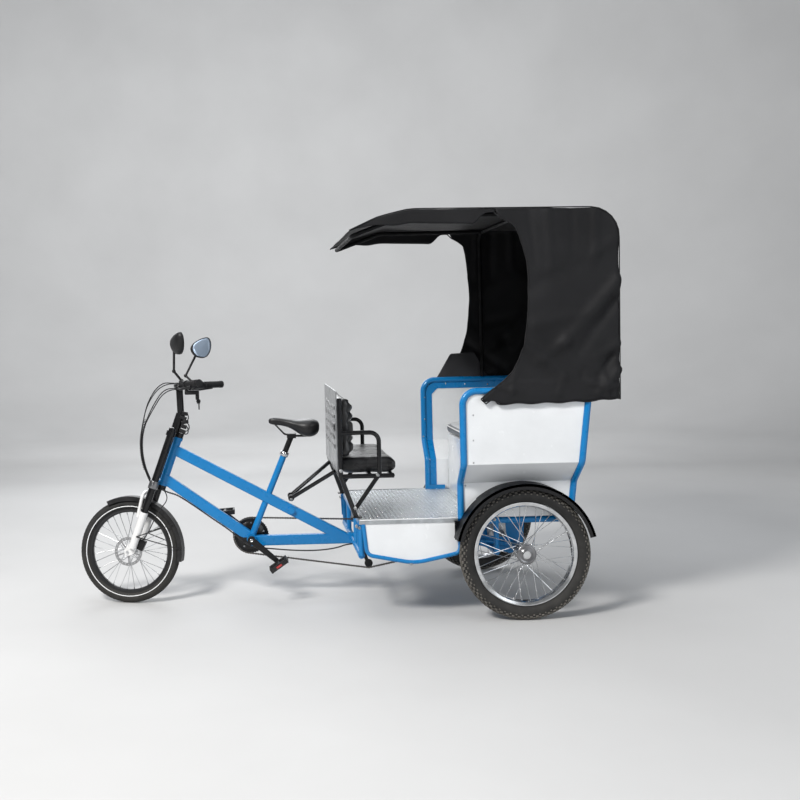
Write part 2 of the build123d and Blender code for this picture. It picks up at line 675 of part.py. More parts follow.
def build_rear_axle():
    """Axle housing with gear case and sprocket, and the brackets that hang it from the body."""
    axle = Vector(0, 0, rear_axle_z)
    inner_end = half_track - rear_hub_width / 2 - 1
    housing = rod(axle - Vector(0, inner_end - 30, 0), axle + Vector(0, inner_end - 30, 0), 24)
    case = Pos(0, 22, rear_axle_z) * Rot(90, 0, 0) * Cylinder(72, 78)
    case = fillet(case.edges(), 14)
    housing += case
    tip = sprocket_radius - roller_half - bearing_gap
    sprocket = wheel_plane(axle + Vector(0, chain_y, 0)).location * Cylinder(tip, 3)
    housing += sprocket
    for side in (-1, 1):
        housing += rod(axle + Vector(0, side * (inner_end - 30), 0), axle + Vector(0, side * (inner_end + 0.6), 0), 16)
    return {"rear_axle": housing}


def body_outline_side(side):
    """Blue tube frame of one side: front post with its flare, top corner, rail and leaning rear post."""
    low = side * body_half_width
    high = side * flare_half_width
    rear_top = post_rear_x - body_rear_lean
    slope = body_rear_lean / (body_top_z - floor_z)
    points = [
        (post_front_x, low, floor_z),
        (post_front_x, low, flare_low_z),
        (post_front_x, high, flare_high_z),
        (post_front_x, high, body_top_z),
        (rear_top, high, body_top_z),
        (post_rear_x - slope * (flare_high_z - floor_z), high, flare_high_z),
        (post_rear_x - slope * (flare_low_z - floor_z), low, flare_low_z),
        (post_rear_x, low, floor_z),
    ]
    return bent(points, body_tube_radius, [40, 40, body_corner_radius, 40, 40, 40])


def body_flange():
    """Riveting strip inside the left tube frame: down the front post and along the top rail."""
    profile = [(body_half_width, floor_z + 1), (body_half_width, flare_low_z), (flare_half_width, flare_high_z),
               (flare_half_width, body_top_z - 4)]
    outer_face = panel_thickness / 2 + fit_gap
    section = [(y - outer_face, z) for y, z in profile]
    section += [(y - outer_face - flange_thickness, z) for y, z in reversed(profile)]
    front = post_front_x - 6
    sheet = extrude(make_face(Polyline(*[(front, y, z) for y, z in section], close=True)),
                    amount=front - rear_x(body_top_z), dir=(-1, 0, 0))
    inner_front = post_front_x - body_tube_radius - flange_width
    inner_top = body_top_z - body_tube_radius - flange_width
    window = side_plate([(inner_front, floor_z - 10), (inner_front, inner_top - 30), (inner_front - 30, inner_top),
                         (-500, inner_top), (-500, floor_z - 10)], 0, flare_half_width + 10)
    corner = body_corner_radius
    centre = Vector(post_front_x - corner, 0, body_top_z - corner)
    outside = Pos(centre.X + corner, flare_half_width, centre.Z + corner) * Box(2 * corner, 40, 2 * corner)
    outside -= rod((centre.X, flare_half_width - 30, centre.Z), (centre.X, flare_half_width + 30, centre.Z), corner)
    return sheet - window - outside


def rear_x(level):
    """X of the rear tube's centre at a height."""
    return post_rear_x - body_rear_lean * (level - floor_z) / (body_top_z - floor_z)


def build_body():
    """Floor frame, tube frames, panels, mudguards and passenger seat."""
    nodes = {}
    rail_z = floor_z - floor_thickness - body_tube_radius
    rail_y = body_half_width - body_tube_radius - 10
    left_frame = body_outline_side(1) + body_flange()
    nodes["left_body_frame"] = left_frame
    nodes["right_body_frame"] = mirrored(left_frame)

    clear = body_half_width - body_tube_radius
    cross = Part()
    for level in (flare_low_z - 40,):
        x_at = rear_x(level)
        cross += rod((x_at, -clear, level), (x_at, clear, level), rear_bar_radius)
    wide = flare_half_width - body_tube_radius
    for level in (body_top_z - 40, flare_high_z + 34):
        x_at = rear_x(level)
        cross += rod((x_at, -wide, level), (x_at, wide, level), rear_bar_radius)
    nodes["rear_body_bars"] = Compound(children=cross.solids())

    frame = Part()
    floor_end_x = post_rear_x - body_tube_radius
    for side in (-1, 1):
        frame += rod((floor_front_x - 12, side * rail_y, rail_z), (floor_end_x, side * rail_y, rail_z),
                     body_tube_radius)
    for x_at in (floor_front_x - 27, post_front_x + 145, 110.0, -110.0, floor_end_x + body_tube_radius):
        frame += rod((x_at, -rail_y, rail_z), (x_at, rail_y, rail_z), body_tube_radius * 0.8)
    for x_at in (floor_front_x - 27, 110.0):
        frame += rod((x_at, -rail_y, spine_z), (x_at, rail_y, spine_z), body_tube_radius)
        for side in (-1, 1):
            for y_at in (rail_y, 180.0):
                frame += rod((x_at, side * y_at, spine_z), (x_at, side * y_at, rail_z), body_tube_radius * 0.8)
    spine_cut = box_bar((crank_x, 0, spine_z), (spine_rear_x, 0, spine_z), frame_tube_depth, frame_tube_width)
    frame -= spine_cut
    plate_x = floor_front_x - 22
    for side in (-1, 1):
        y_low, y_high = sorted((side * (rail_y - 4), side * (rail_y + 4)))
        frame += side_plate([(plate_x - 20, spine_z + 34), (plate_x + 12, spine_z + 42),
                             (plate_x + 16, rail_z + 4), (plate_x - 16, rail_z + 4)], y_low, y_high)
    for side in (-1, 1):
        low_y, high_y = sorted((side * 318, side * 324))
        hanger = side_plate([(-46, rail_z), (46, rail_z), (34, rear_axle_z - 34), (-34, rear_axle_z - 34)],
                            low_y, high_y)
        brace = rod((28, side * 330, rear_axle_z + 8), (196, side * 330, spine_z + 42), 9)
        brace += rod((196, side * 330, spine_z + 42), (110, side * 330, spine_z), 9)
        hanger -= rod((0, low_y - 1, rear_axle_z), (0, high_y + 1, rear_axle_z), 24.05)
        frame += hanger + brace
    nodes["floor_frame"] = frame

    trim_y = body_half_width + 3
    trim_end_z = floor_z - floor_thickness - floor_lip - fit_gap
    trim_points = [(apron_front_x + 14, trim_y, trim_end_z), (apron_front_x, trim_y, apron_end_z),
                   ((apron_front_x + post_front_x) / 2, trim_y, apron_low_z - 4),
                   (post_front_x + 8, trim_y, apron_end_z), (post_front_x + 8, trim_y, trim_end_z)]
    trim_bends = [38, 260, 30]
    trim = bent(trim_points, apron_tube_radius, trim_bends)
    nodes["apron_trim"] = both(trim)
    trim_line = FilletPolyline(*trim_points, radius=trim_bends)
    apron = extrude(make_face([trim_line, Line(trim_line @ 1, trim_line @ 0)]), amount=3, dir=(0, -1, 0))
    nodes["side_aprons"] = both(apron - trim)

    floor_y = body_half_width + 6
    floor = Pos((floor_front_x + post_front_x - body_tube_radius) / 2 + 8, 0, floor_z - floor_thickness / 2) * Box(
        floor_front_x - post_front_x - body_tube_radius - 16, 2 * floor_y, floor_thickness)
    lip = Pos(floor.center().X, floor_y - 1.5, floor_z - floor_thickness - floor_lip / 2) * Box(
        floor.bounding_box().size.X, 3, floor_lip)
    floor += lip + mirrored(lip)
    rear_floor = Pos(post_front_x / 2 - 90, 0, floor_z - floor_thickness / 2) * Box(
        post_front_x + 180 + 30, 2 * (body_half_width - body_tube_radius - 2), floor_thickness)
    nodes["floor_plate"] = floor + rear_floor

    nodes.update(build_side_panels())
    nodes.update(build_mudguards())
    nodes.update(build_passenger_seat())
    return nodes


def build_side_panels():
    """White flared side panels with the wheel arch cut out, and the rear panel."""
    nodes = {}
    gap = 0.3
    top = body_top_z - body_tube_radius - gap
    front = post_front_x - body_tube_radius - gap
    profile = [(body_half_width, floor_z + 1), (body_half_width, flare_low_z), (flare_half_width, flare_high_z),
               (flare_half_width, top)]
    half = panel_thickness / 2
    outer = [(y + half, z) for y, z in profile]
    inner = [(y - half, z) for y, z in reversed(profile)]
    face = make_face(Polyline(*[(front, y, z) for y, z in outer + inner], close=True))
    sheet = extrude(face, amount=front - rear_x(top) + 20, dir=(-1, 0, 0))
    cut_slope = body_rear_lean / (body_top_z - floor_z)
    lean_gap = body_tube_radius + gap
    back_low = post_rear_x + lean_gap
    behind = side_plate([(back_low + cut_slope * 60, floor_z - 60), (back_low - cut_slope * 640, floor_z + 640),
                         (back_low - 400, floor_z + 640), (back_low - 400, floor_z - 60)],
                        body_half_width - 60, flare_half_width + 60)
    arch = rod((0, body_half_width - 40, rear_axle_z), (0, flare_half_width + 40, rear_axle_z), wheel_arch_radius + 4)
    rounded = Pos(front + body_tube_radius - body_corner_radius, flare_half_width,
                  top + body_tube_radius - body_corner_radius) * Rot(90, 0, 0) * Cylinder(
                      body_corner_radius - body_tube_radius - gap, 20)
    corner_box = Pos(front + body_tube_radius - body_corner_radius + 40, flare_half_width,
                     top + body_tube_radius - body_corner_radius + 40) * Box(80, 20, 80)
    panel = sheet - behind - arch - (corner_box - rounded) - body_outline_side(1)
    panel = max(panel.solids(), key=lambda solid: solid.volume)
    nodes["left_side_panel"] = panel
    nodes["right_side_panel"] = mirrored(panel)

    rear_inside = body_tube_radius + gap + 3
    levels = [floor_z + 4, flare_low_z, flare_high_z, body_top_z - body_tube_radius - 32]
    halves = [body_half_width - rear_inside, body_half_width - rear_inside, flare_half_width - rear_inside,
              flare_half_width - rear_inside]
    outline = [(y, z) for y, z in zip(halves, levels)] + [(-y, z) for y, z in reversed(list(zip(halves, levels)))]
    slab = make_face(Polyline(*[(0, y, z) for y, z in outline], close=True))
    slab = extrude(slab, amount=600, dir=(-1, 0, 0))
    behind_bars = rear_bar_radius + gap
    front_line = [(rear_x(z) - behind_bars - panel_thickness, z) for z in (floor_z - 20, body_top_z)]
    back_line = [(rear_x(z) - behind_bars, z) for z in (body_top_z, floor_z - 20)]
    leaning = side_plate(front_line + back_line, -flare_half_width, flare_half_width)
    nodes["rear_panel"] = slab & leaning
    return nodes


def build_mudguards():
    """Rear mudguards: curved crown with an outer lip, and the bracket down to the floor frame."""
    inner_y = body_half_width + 15
    crown = arc_shell(0, rear_axle_z, fender_radius - fender_thickness, fender_thickness, inner_y,
                      fender_outer_y, fender_front_angle, fender_rear_angle)
    lip = arc_shell(0, rear_axle_z, fender_radius - 12, 12, fender_outer_y - 2.5, fender_outer_y,
                    fender_front_angle, fender_rear_angle)
    flange = arc_shell(0, rear_axle_z, fender_radius - fender_thickness, fender_thickness,
                       body_half_width + panel_thickness / 2 + 0.3, inner_y + 1, 50, 130)
    foot = Vector(fender_radius * cos(radians(fender_front_angle + 6)), 0,
                  rear_axle_z + fender_radius * sin(radians(fender_front_angle + 6)))
    bracket = Pos(foot.X - 9, inner_y + 1, foot.Z) * Box(28, 4, 84)
    guards = join([crown, lip, flange, bracket])
    return {"rear_mudguards": both(guards)}


def build_passenger_seat():
    """Boxed seat base with its cushion and backrest."""
    inside = body_half_width - body_tube_radius - 4
    rear = rear_x(flare_low_z - 40) + rear_bar_radius + fit_gap
    front = side_plate([(seat_front_x - 24, floor_z + 0.2), (seat_front_x - 21, floor_z + 0.2),
                        (seat_front_x - 21, seat_top_z), (seat_front_x - 24, seat_top_z)], -inside, inside)
    top = Pos((seat_front_x - 21 + rear) / 2, 0, seat_top_z - 1.5) * Box(seat_front_x - 21 - rear, 2 * inside, 3)
    for side in (-1, 1):
        top += Pos((seat_front_x - 21 + rear) / 2, side * (inside - 1.5), (seat_top_z + floor_z + 110) / 2) * Box(
            seat_front_x - 21 - rear, 3, seat_top_z - floor_z - 110)
    base = front + top
    cushion_front = seat_front_x
    cushion_rear = rear + 4
    cushion = Pos((cushion_front + cushion_rear) / 2, 0, seat_top_z + 0.3 + cushion_thickness / 2) * Box(
        cushion_front - cushion_rear, 2 * (inside + 20), cushion_thickness)
    cushion = fillet(cushion.edges(), 16)
    low_z = seat_top_z + cushion_thickness + 2 * fit_gap
    high_z = body_top_z + 130
    lean = hypot(body_rear_lean, body_top_z - floor_z) / (body_top_z - floor_z)
    low_x = rear_x(low_z) + (rear_bar_radius + fit_gap) * lean
    high_x = rear_x(high_z) + (rear_bar_radius + fit_gap) * lean
    back = side_plate([(low_x, low_z), (low_x + 60, low_z), (high_x + 60, high_z), (high_x, high_z)],
                      -flare_half_width + 34, flare_half_width - 34)
    back = fillet(back.edges(), 14)
    return {"seat_base": base, "passenger_cushion": cushion, "passenger_backrest": back}


def hood_curve():
    """Front edge of the hood's side, from the hem up to the visor, as (x, z) points."""
    rise = hood_top_z - hood_hem_z
    # Columns: distance ahead of the rear axle, share of the hood's height
    line = ((190, -0.005), (139, 0.073), (63, 0.155), (7, 0.273), (-22, 0.397), (-31, 0.621), (-16, 0.774),
            (21, 0.904))
    return [(x, hood_hem_z + rise * share) for x, share in line] + [(60, hood_top_z - valance_depth)]


def build_hood():
    """Canvas hood with its visor and the hoops that carry it."""
    nodes = {}
    path_points = [(visor_front_x, 0, visor_front_z), (visor_front_x - 130, 0, visor_front_z + 58),
                   (visor_front_x - 270, 0, hood_top_z), (-300, 0, hood_top_z - 10),
                   (hood_rear_x, 0, hood_top_z - 130), (hood_rear_x + 14, 0, hood_hem_z)]
    path = FilletPolyline(*path_points, radius=[200, 260, 90, 60])
    section_plane = Plane(path @ 0, x_dir=(0, 1, 0), z_dir=path % 0)
    roof = sweep(section_plane * Rectangle(2 * hood_half_width, hood_cloth), path=path)
    side_line = [(x, z) for x, z in hood_curve()]
    side = side_line + [(300, hood_top_z - valance_depth), (visor_front_x - 270, hood_top_z - valance_depth),
                        (visor_front_x - 120, hood_top_z - valance_depth - 6), (visor_front_x, visor_front_z),
                        (visor_front_x - 130, visor_front_z + 58), (visor_front_x - 270, hood_top_z),
                        (-300, hood_top_z - 10), (hood_rear_x, hood_top_z - 130), (hood_rear_x + 14, hood_hem_z),
                        (-346, hood_hem_z - 22), (100, hood_hem_z - 22)]
    panel = side_plate(side, hood_half_width - hood_cloth, hood_half_width)
    sheets = roof + panel + mirrored(panel)
    nodes["hood_canvas"] = sheets

    rail_top = body_top_z + body_tube_radius
    roof_under = hood_top_z - hood_cloth / 2 - hoop_radius - 12
    hoop = bent([(hoop_x, -hoop_y, rail_top), (hoop_x, -hoop_y, roof_under), (hoop_x, hoop_y, roof_under),
                 (hoop_x, hoop_y, rail_top)], hoop_radius, 60)
    nodes["hood_front_hoop"] = hoop
    rear_foot_x = rear_x(body_top_z) + 40
    rear_hoop = bent([(rear_foot_x, -hoop_y, rail_top - 2), (hood_rear_x + 40, -hoop_y, roof_under - 160),
                      (hood_rear_x + 40, hoop_y, roof_under - 160), (rear_foot_x, hoop_y, rail_top - 2)],
                     hoop_radius, 60)
    nodes["hood_rear_hoop"] = max((rear_hoop - body_outline_side(1) - body_outline_side(-1)).solids(),
                                  key=lambda solid: solid.volume)
    rail_y = hoop_y - 78
    corner_x = visor_front_x - 26
    half_visor = [(hoop_x + hoop_radius, rail_y, roof_under), (visor_front_x - 262, rail_y, roof_under),
                  (corner_x, rail_y, visor_front_z - 18)]
    other_half = [(x, -y, z) for x, y, z in reversed(half_visor)]
    visor = bent(half_visor + other_half, hoop_radius, [120, 40, 40, 120])
    nodes["visor_frame"] = visor
    return nodes


def build_bench():
    """Rear-facing bench behind the rider: tube frame, back board and two cushions."""
    nodes = {}
    r = bench_tube_radius
    side_x = bench_back_x - 4 - r
    foot_x = floor_front_x - 12
    side_y = bench_half_width
    frame = []
    for side in (-1, 1):
        y = side * side_y
        upright = bent([(side_x, y, bench_top_z - 20), (side_x, y, bench_seat_z - 6), (foot_x, y, floor_z + 0.3)], r, 50)
        rail = rod((side_x, y, bench_seat_z - 8), (bench_seat_rear_x + 34, y, bench_seat_z - 8), 0.97 * r)
        arm = bent([(side_x, y, armrest_z), (armrest_x, y, armrest_z), (armrest_x, y, bench_seat_z - 8)],
                   0.94 * r, 42)
        leg = rod((armrest_x + 6, y, bench_seat_z - 8), (foot_x + 2, y, floor_z + 42), 0.91 * r)
        foot = Pos(foot_x, y, floor_z + 2.2) * Box(50, 34, 4)
        frame.extend([upright, rail, arm, leg, foot])
    for x_at in (side_x, bench_seat_rear_x + 40, (side_x + bench_seat_rear_x) / 2):
        frame.append(rod((x_at, -side_y, bench_seat_z - 8), (x_at, side_y, bench_seat_z - 8), 0.88 * r))
    nodes["bench_frame"] = join(frame)

    low = Vector(crank_x - lug_run, 43, 500)
    seat_face = side_x + 0.88 * r + fit_gap
    high = Vector(seat_face + 2.5, 178, bench_seat_z - 8)
    strut = join([rod(low, high, 10), rod(low - Vector(0, 8.6, 0), low + Vector(0, 8, 0), 15),
                  rod(high, high - Vector(2.5, 0, 0), 12)])
    strut -= Pos(seat_face - 30, high.Y, high.Z) * Box(60, 60, 60)
    nodes["bench_struts"] = both(strut)

    board_thickness = bench_back_x - side_x - r - fit_gap
    board = Pos(bench_back_x - board_thickness / 2, 0, (bench_top_z + 12 + bench_seat_z + 8) / 2) * Box(
        board_thickness, 2 * (bench_half_width - 2), bench_top_z + 12 - bench_seat_z - 8)
    nodes["bench_board"] = board
    back_front = bench_back_x - board_thickness - fit_gap
    back = Pos(back_front - 38, 0, (bench_seat_top_z + bench_top_z - 14) / 2) * Box(
        76, 2 * bench_cushion_half_width, bench_top_z - 14 - bench_seat_top_z - 2)
    nodes["bench_back_cushion"] = fillet(back.edges(), 20)
    seat_low = bench_seat_z - 8 + 0.88 * r + fit_gap
    seat = Pos((back_front + bench_seat_rear_x) / 2, 0, (seat_low + bench_seat_top_z) / 2) * Box(
        back_front - bench_seat_rear_x, 2 * bench_cushion_half_width, bench_seat_top_z - seat_low)
    nodes["bench_seat_cushion"] = fillet(seat.edges(), 16)
    return nodes


def main():
    """Build every node, centre the vehicle and write one file for each."""
    nodes = {}
    front_frame, post_end = build_front_frame()
    nodes.update(front_frame)
    nodes.update(build_saddle(post_end))
    nodes.update(build_crankset())
    nodes.update(build_drive())
    nodes.update(build_rear_axle())
    nodes.update(build_body())
    nodes.update(build_hood())
    nodes.update(build_bench())
    nodes.update(build_steering())
    nodes.update(build_front_wheel())
    nodes.update(build_rear_wheels())
    front_end = nodes["front_tyre"].bounding_box().max.X
    rear_end = nodes["hood_canvas"].bounding_box().min.X
    middle = (front_end + rear_end) / 2
    print("shift in X", -middle)
    print("steering axis point", tuple(on_head(head_tube_start) - Vector(middle, 0, 0)), "direction", tuple(head_up))
    for name, shape in nodes.items():
        export_step(Pos(-middle, 0, 0) * shape, f"parts/{name}.step")


main()
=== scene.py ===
"""Looks of the cycle rickshaw: finishes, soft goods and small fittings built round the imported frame."""

import json
import logging
from collections.abc import Sequence
from dataclasses import dataclass
from enum import Enum
from math import acos, atan2, cos, dist, exp, hypot, pi, radians, sin, tan

import bmesh
import bpy
from mathutils import Euler, Matrix, Vector, noise


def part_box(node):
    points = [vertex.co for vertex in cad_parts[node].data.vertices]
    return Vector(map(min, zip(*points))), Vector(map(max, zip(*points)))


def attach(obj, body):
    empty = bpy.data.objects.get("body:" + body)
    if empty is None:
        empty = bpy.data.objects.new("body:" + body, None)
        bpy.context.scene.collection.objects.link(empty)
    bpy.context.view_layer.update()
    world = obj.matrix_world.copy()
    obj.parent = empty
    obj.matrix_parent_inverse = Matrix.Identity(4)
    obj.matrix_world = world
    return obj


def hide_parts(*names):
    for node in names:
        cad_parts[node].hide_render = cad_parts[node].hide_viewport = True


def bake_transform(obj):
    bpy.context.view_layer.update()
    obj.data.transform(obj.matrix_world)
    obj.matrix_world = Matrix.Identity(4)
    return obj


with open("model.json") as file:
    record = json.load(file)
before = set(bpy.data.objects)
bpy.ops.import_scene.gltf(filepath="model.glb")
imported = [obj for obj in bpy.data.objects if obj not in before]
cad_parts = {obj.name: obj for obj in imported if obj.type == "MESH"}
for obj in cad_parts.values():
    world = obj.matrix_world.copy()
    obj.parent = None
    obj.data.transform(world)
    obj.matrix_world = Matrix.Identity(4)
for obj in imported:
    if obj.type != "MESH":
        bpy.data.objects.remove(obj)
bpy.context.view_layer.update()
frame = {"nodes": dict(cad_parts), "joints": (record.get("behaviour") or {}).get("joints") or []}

MM = 0.001
REAR_HUB = sum(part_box("left_rear_wheel"), Vector()) / 2
FRONT_HUB = sum(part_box("front_tyre"), Vector()) / 2
HEAD_ANGLE = radians(70.0)
HEAD_UP = Vector((-cos(HEAD_ANGLE), 0.0, sin(HEAD_ANGLE)))
HEAD_FORWARD = Vector((sin(HEAD_ANGLE), 0.0, cos(HEAD_ANGLE)))
# Axles of the front wheel, the cranks and the rear wheels, given as for place()
FRONT_X, FRONT_Z = 1834.0, 253.0
CRANK_X, CRANK_Z = 1233.0, 303.0
REAR_Z = 296.0
FORK_OFFSET = 46.0
HEAD_FOOT = Vector((FRONT_X, 0.0, FRONT_Z)) - FORK_OFFSET * HEAD_FORWARD
STEER_REST = radians(-11.0)
SIDES = (("left", 1), ("right", -1))
Points = Sequence[Vector]
Pairs = Sequence[tuple[float, float]]
Triples = tuple[tuple[float, float, float], ...]
Colour = tuple[float, float, float]
Piece = bpy.types.Object
Socket = bpy.types.NodeSocket

log = logging.getLogger("rickshaw")


def place(x: float, y: float, z: float) -> Vector:
    """Turn millimetres from the rear axle, the middle plane and the ground into a point of the row frame.

    Args:
        x: Millimetres ahead of the rear axle.
        y: Millimetres to the vehicle's left.
        z: Millimetres above the ground.

    Returns:
        The point in metres.
    """
    return Vector((REAR_HUB.x + x * MM, y * MM, z * MM))


def steered(x: float, y: float, z: float) -> Vector:
    """Place a point of the straight steering where it stands parked, given as for place()."""
    turn = Matrix.Rotation(STEER_REST, 3, HEAD_UP)
    return place(*(HEAD_FOOT + turn @ (Vector((x, y, z)) - HEAD_FOOT)))


def on_head(along: float, forward: float, side: float) -> Vector:
    """Place a point given along the steering axis, ahead of it and to its left, in millimetres."""
    return steered(*(HEAD_FOOT + HEAD_UP * along + HEAD_FORWARD * forward + Vector((0.0, side, 0.0))))


def about(axis: str, degrees: float) -> Matrix:
    """Turn about one axis."""
    return Matrix.Rotation(radians(degrees), 4, axis)


def pointing(way: Vector, side: str = "Y") -> Matrix:
    """Turn that takes the Z axis to a direction."""
    return way.to_track_quat("Z", side).to_matrix().to_4x4()


# Mesh helpers


def add_object(name: str, data: bpy.types.ID) -> Piece:
    """Link a new object that holds a mesh or a curve and return it."""
    piece = bpy.data.objects.new(name, data)
    bpy.context.scene.collection.objects.link(piece)
    return piece


def set_smooth(mesh: bpy.types.Mesh, smooth: bool = True) -> None:
    """Shade all faces of a mesh smooth or flat."""
    mesh.polygons.foreach_set("use_smooth", [smooth] * len(mesh.polygons))


def set_down(piece: Piece, spot: Vector, turn: Matrix | None = None) -> Piece:
    """Turn a piece that was made at the origin and carry it to its place."""
    piece.data.transform(Matrix.Translation(spot) @ (turn or Matrix()))
    return piece


def mesh_piece(name: str, vertices: Points, faces: Sequence[Sequence[int]], smooth: bool = True) -> Piece:
    """Make an object from vertices and faces.

    Args:
        name: Object name.
        vertices: Corner points in metres.
        faces: Vertex indices of each face.
        smooth: Whether the faces are shaded smooth.

    Returns:
        The linked object.
    """
    mesh = bpy.data.meshes.new(name)
    mesh.from_pydata([tuple(v) for v in vertices], [], faces)
    mesh.update()
    set_smooth(mesh, smooth)
    return add_object(name, mesh)


def grid_faces(rows: int, columns: int, closed: bool = False, base: int = 0) -> list[tuple[int, ...]]:
    """Quads of a grid whose vertices run row by row.

    Args:
        rows: Number of vertex rows.
        columns: Number of vertices in a row.
        closed: Whether each row joins its own end.
        base: Index of the first vertex.

    Returns:
        Vertex indices of each quad.
    """
    faces = []
    for row in range(rows - 1):
        here, above = base + row * columns, base + (row + 1) * columns
        for column in range(columns if closed else columns - 1):
            after = (column + 1) % columns
            faces.append((here + column, here + after, above + after, above + column))
    return faces


def close_up(piece: Piece, distance: float = 1e-5, hole_sides: int = 0, outwards: bool = True) -> Piece:
    """Merge doubles, fill holes and turn the faces outwards.

    Args:
        piece: Mesh object, changed in place.
        distance: Distance in metres within which vertices merge.
        hole_sides: Most sides of a hole that is filled; 0 fills none.
        outwards: Whether the faces are turned.

    Returns:
        The piece.
    """
    work = bmesh.new()
    work.from_mesh(piece.data)
    bmesh.ops.remove_doubles(work, verts=work.verts, dist=distance)
    if hole_sides:
        bmesh.ops.holes_fill(work, edges=[edge for edge in work.edges if edge.is_boundary], sides=hole_sides)
    if outwards:
        bmesh.ops.recalc_face_normals(work, faces=work.faces)
    work.to_mesh(piece.data)
    work.free()
    return piece


def loft(name: str, rings: Sequence[Points], smooth: bool = True) -> Piece:
    """Make a closed skin through equal rings of points, with a flat cap at each end.

    Args:
        name: Object name.
        rings: Points of each ring in metres.
        smooth: Whether the faces are shaded smooth.

    Returns:
        The mesh object.
    """
    size, last = len(rings[0]), (len(rings) - 1) * len(rings[0])
    caps = [tuple(range(size - 1, -1, -1)), tuple(range(last, last + size))]
    faces = grid_faces(len(rings), size, closed=True) + caps
    return close_up(mesh_piece(name, [spot for ring in rings for spot in ring], faces, smooth))


def evaluated_mesh(piece: Piece) -> bpy.types.Mesh:
    """Mesh of an object after its modifiers or curve settings."""
    bpy.context.view_layer.update()
    graph = bpy.context.evaluated_depsgraph_get()
    return bpy.data.meshes.new_from_object(piece.evaluated_get(graph), depsgraph=graph)


def bake(piece: Piece) -> Piece:
    """Replace the piece's mesh by its evaluated mesh and drop its modifiers."""
    mesh = evaluated_mesh(piece)
    piece.modifiers.clear()
    piece.data = mesh
    return piece


def subdivide(piece: Piece, levels: int = 1) -> Piece:
    """Smooth a piece by subdivision."""
    smooth = piece.modifiers.new("smooth", "SUBSURF")
    smooth.levels = smooth.render_levels = levels
    return bake(piece)


def thicken(piece: Piece, thickness: float, offset: float) -> Piece:
    """Give a sheet its thickness."""
    cloth = piece.modifiers.new("cloth", "SOLIDIFY")
    cloth.thickness, cloth.offset = thickness, offset
    return bake(piece)


def curve_mesh(name: str, points: Points, steps: int, radius: float = 0.0, sides: int = 8) -> bpy.types.Mesh:
    """Make the mesh of a curve through control points.

    Args:
        name: Name of the curve.
        points: Control points in metres.
        steps: Steps from one control point to the next on a smooth curve, or 0 for straight runs.
        radius: Radius of the tube round the curve, or 0 for a bare line.
        sides: Half the number of sides of the tube.

    Returns:
        The mesh.
    """
    curve = bpy.data.curves.new(name, "CURVE")
    curve.dimensions = "3D"
    curve.bevel_depth = radius
    curve.bevel_resolution = max(1, sides // 2 - 1)
    curve.use_fill_caps = radius > 0
    spline = curve.splines.new("NURBS" if steps else "POLY")
    spline.points.add(len(points) - 1)
    for point, position in zip(spline.points, points):
        point.co = (*position, 1.0)
    if steps:
        spline.order_u = 3
        spline.use_endpoint_u = True
        spline.resolution_u = steps
    holder = add_object(name, curve)
    mesh = evaluated_mesh(holder)
    bpy.data.objects.remove(holder)
    return mesh


def tube(name: str, points: Points, radius: float, smooth_route: bool = True, sides: int = 8) -> Piece:
    """Make a round tube along a route.

    Args:
        name: Object name.
        points: Route in metres.
        radius: Tube radius in millimetres.
        smooth_route: Whether the route is a smooth curve through its control points.
        sides: Half the number of sides of the tube.

    Returns:
        The tube as a mesh object.
    """
    mesh = curve_mesh(name, points, 8 if smooth_route else 0, radius * MM, sides)
    set_smooth(mesh)
    return add_object(name, mesh)


def spline_line(points: Points) -> list[Vector]:
    """Read points along the smooth spline of a route's control points."""
    return [vertex.co.copy() for vertex in curve_mesh("route_line", points, 10).vertices]


def run_lengths(points: Sequence[Sequence[float]]) -> list[float]:
    """Length along a line of points up to each of them."""
    lengths = [0.0]
    for here, there in zip(points, points[1:]):
        lengths.append(lengths[-1] + dist(here, there))
    return lengths


def spans_at(lengths: Sequence[float], goals: Sequence[float]) -> list[tuple[int, float]]:
    """Find where rising lengths lie on a line.

    Args:
        lengths: Length along the line up to each of its points.
        goals: Lengths to find.

    Returns:
        Index of the span that holds each goal, and the share of that span before it.
    """
    found = []
    span = 0
    for goal in goals:
        while span < len(lengths) - 2 and lengths[span + 1] < goal:
            span += 1
        width = lengths[span + 1] - lengths[span]
        found.append((span, 0.0 if width == 0 else (goal - lengths[span]) / width))
    return found


def helix_round(line: Points, radius: float, pitch: float, share: tuple[float, float] = (0.0, 1.0)) -> list[Vector]:
    """Wind a helix round part of a line.

    Args:
        line: Points along the line in metres.
        radius: Radius of the turns in millimetres.
        pitch: Advance of each turn in millimetres.
        share: Where the winding starts and ends, from 0 to 1 of the line's length.

    Returns:
        Points of the helix in metres, ten for each turn.
    """
    lengths = run_lengths(line)
    start, stop = (lengths[-1] * part for part in share)
    count = max(10, round((stop - start) / (pitch * MM) * 10))
    winding = []
    spans = spans_at(lengths, [start + (stop - start) * index / count for index in range(count + 1)])
    for index, (span, part) in enumerate(spans):
        run = line[span + 1] - line[span]
        first = run.cross(Vector((0.0, 1.0, 0.0))).normalized()
        second = run.cross(first).normalized()
        angle = 2 * pi * index / 10
        winding.append(line[span] + run * part + (first * cos(angle) + second * sin(angle)) * radius * MM)
    return winding


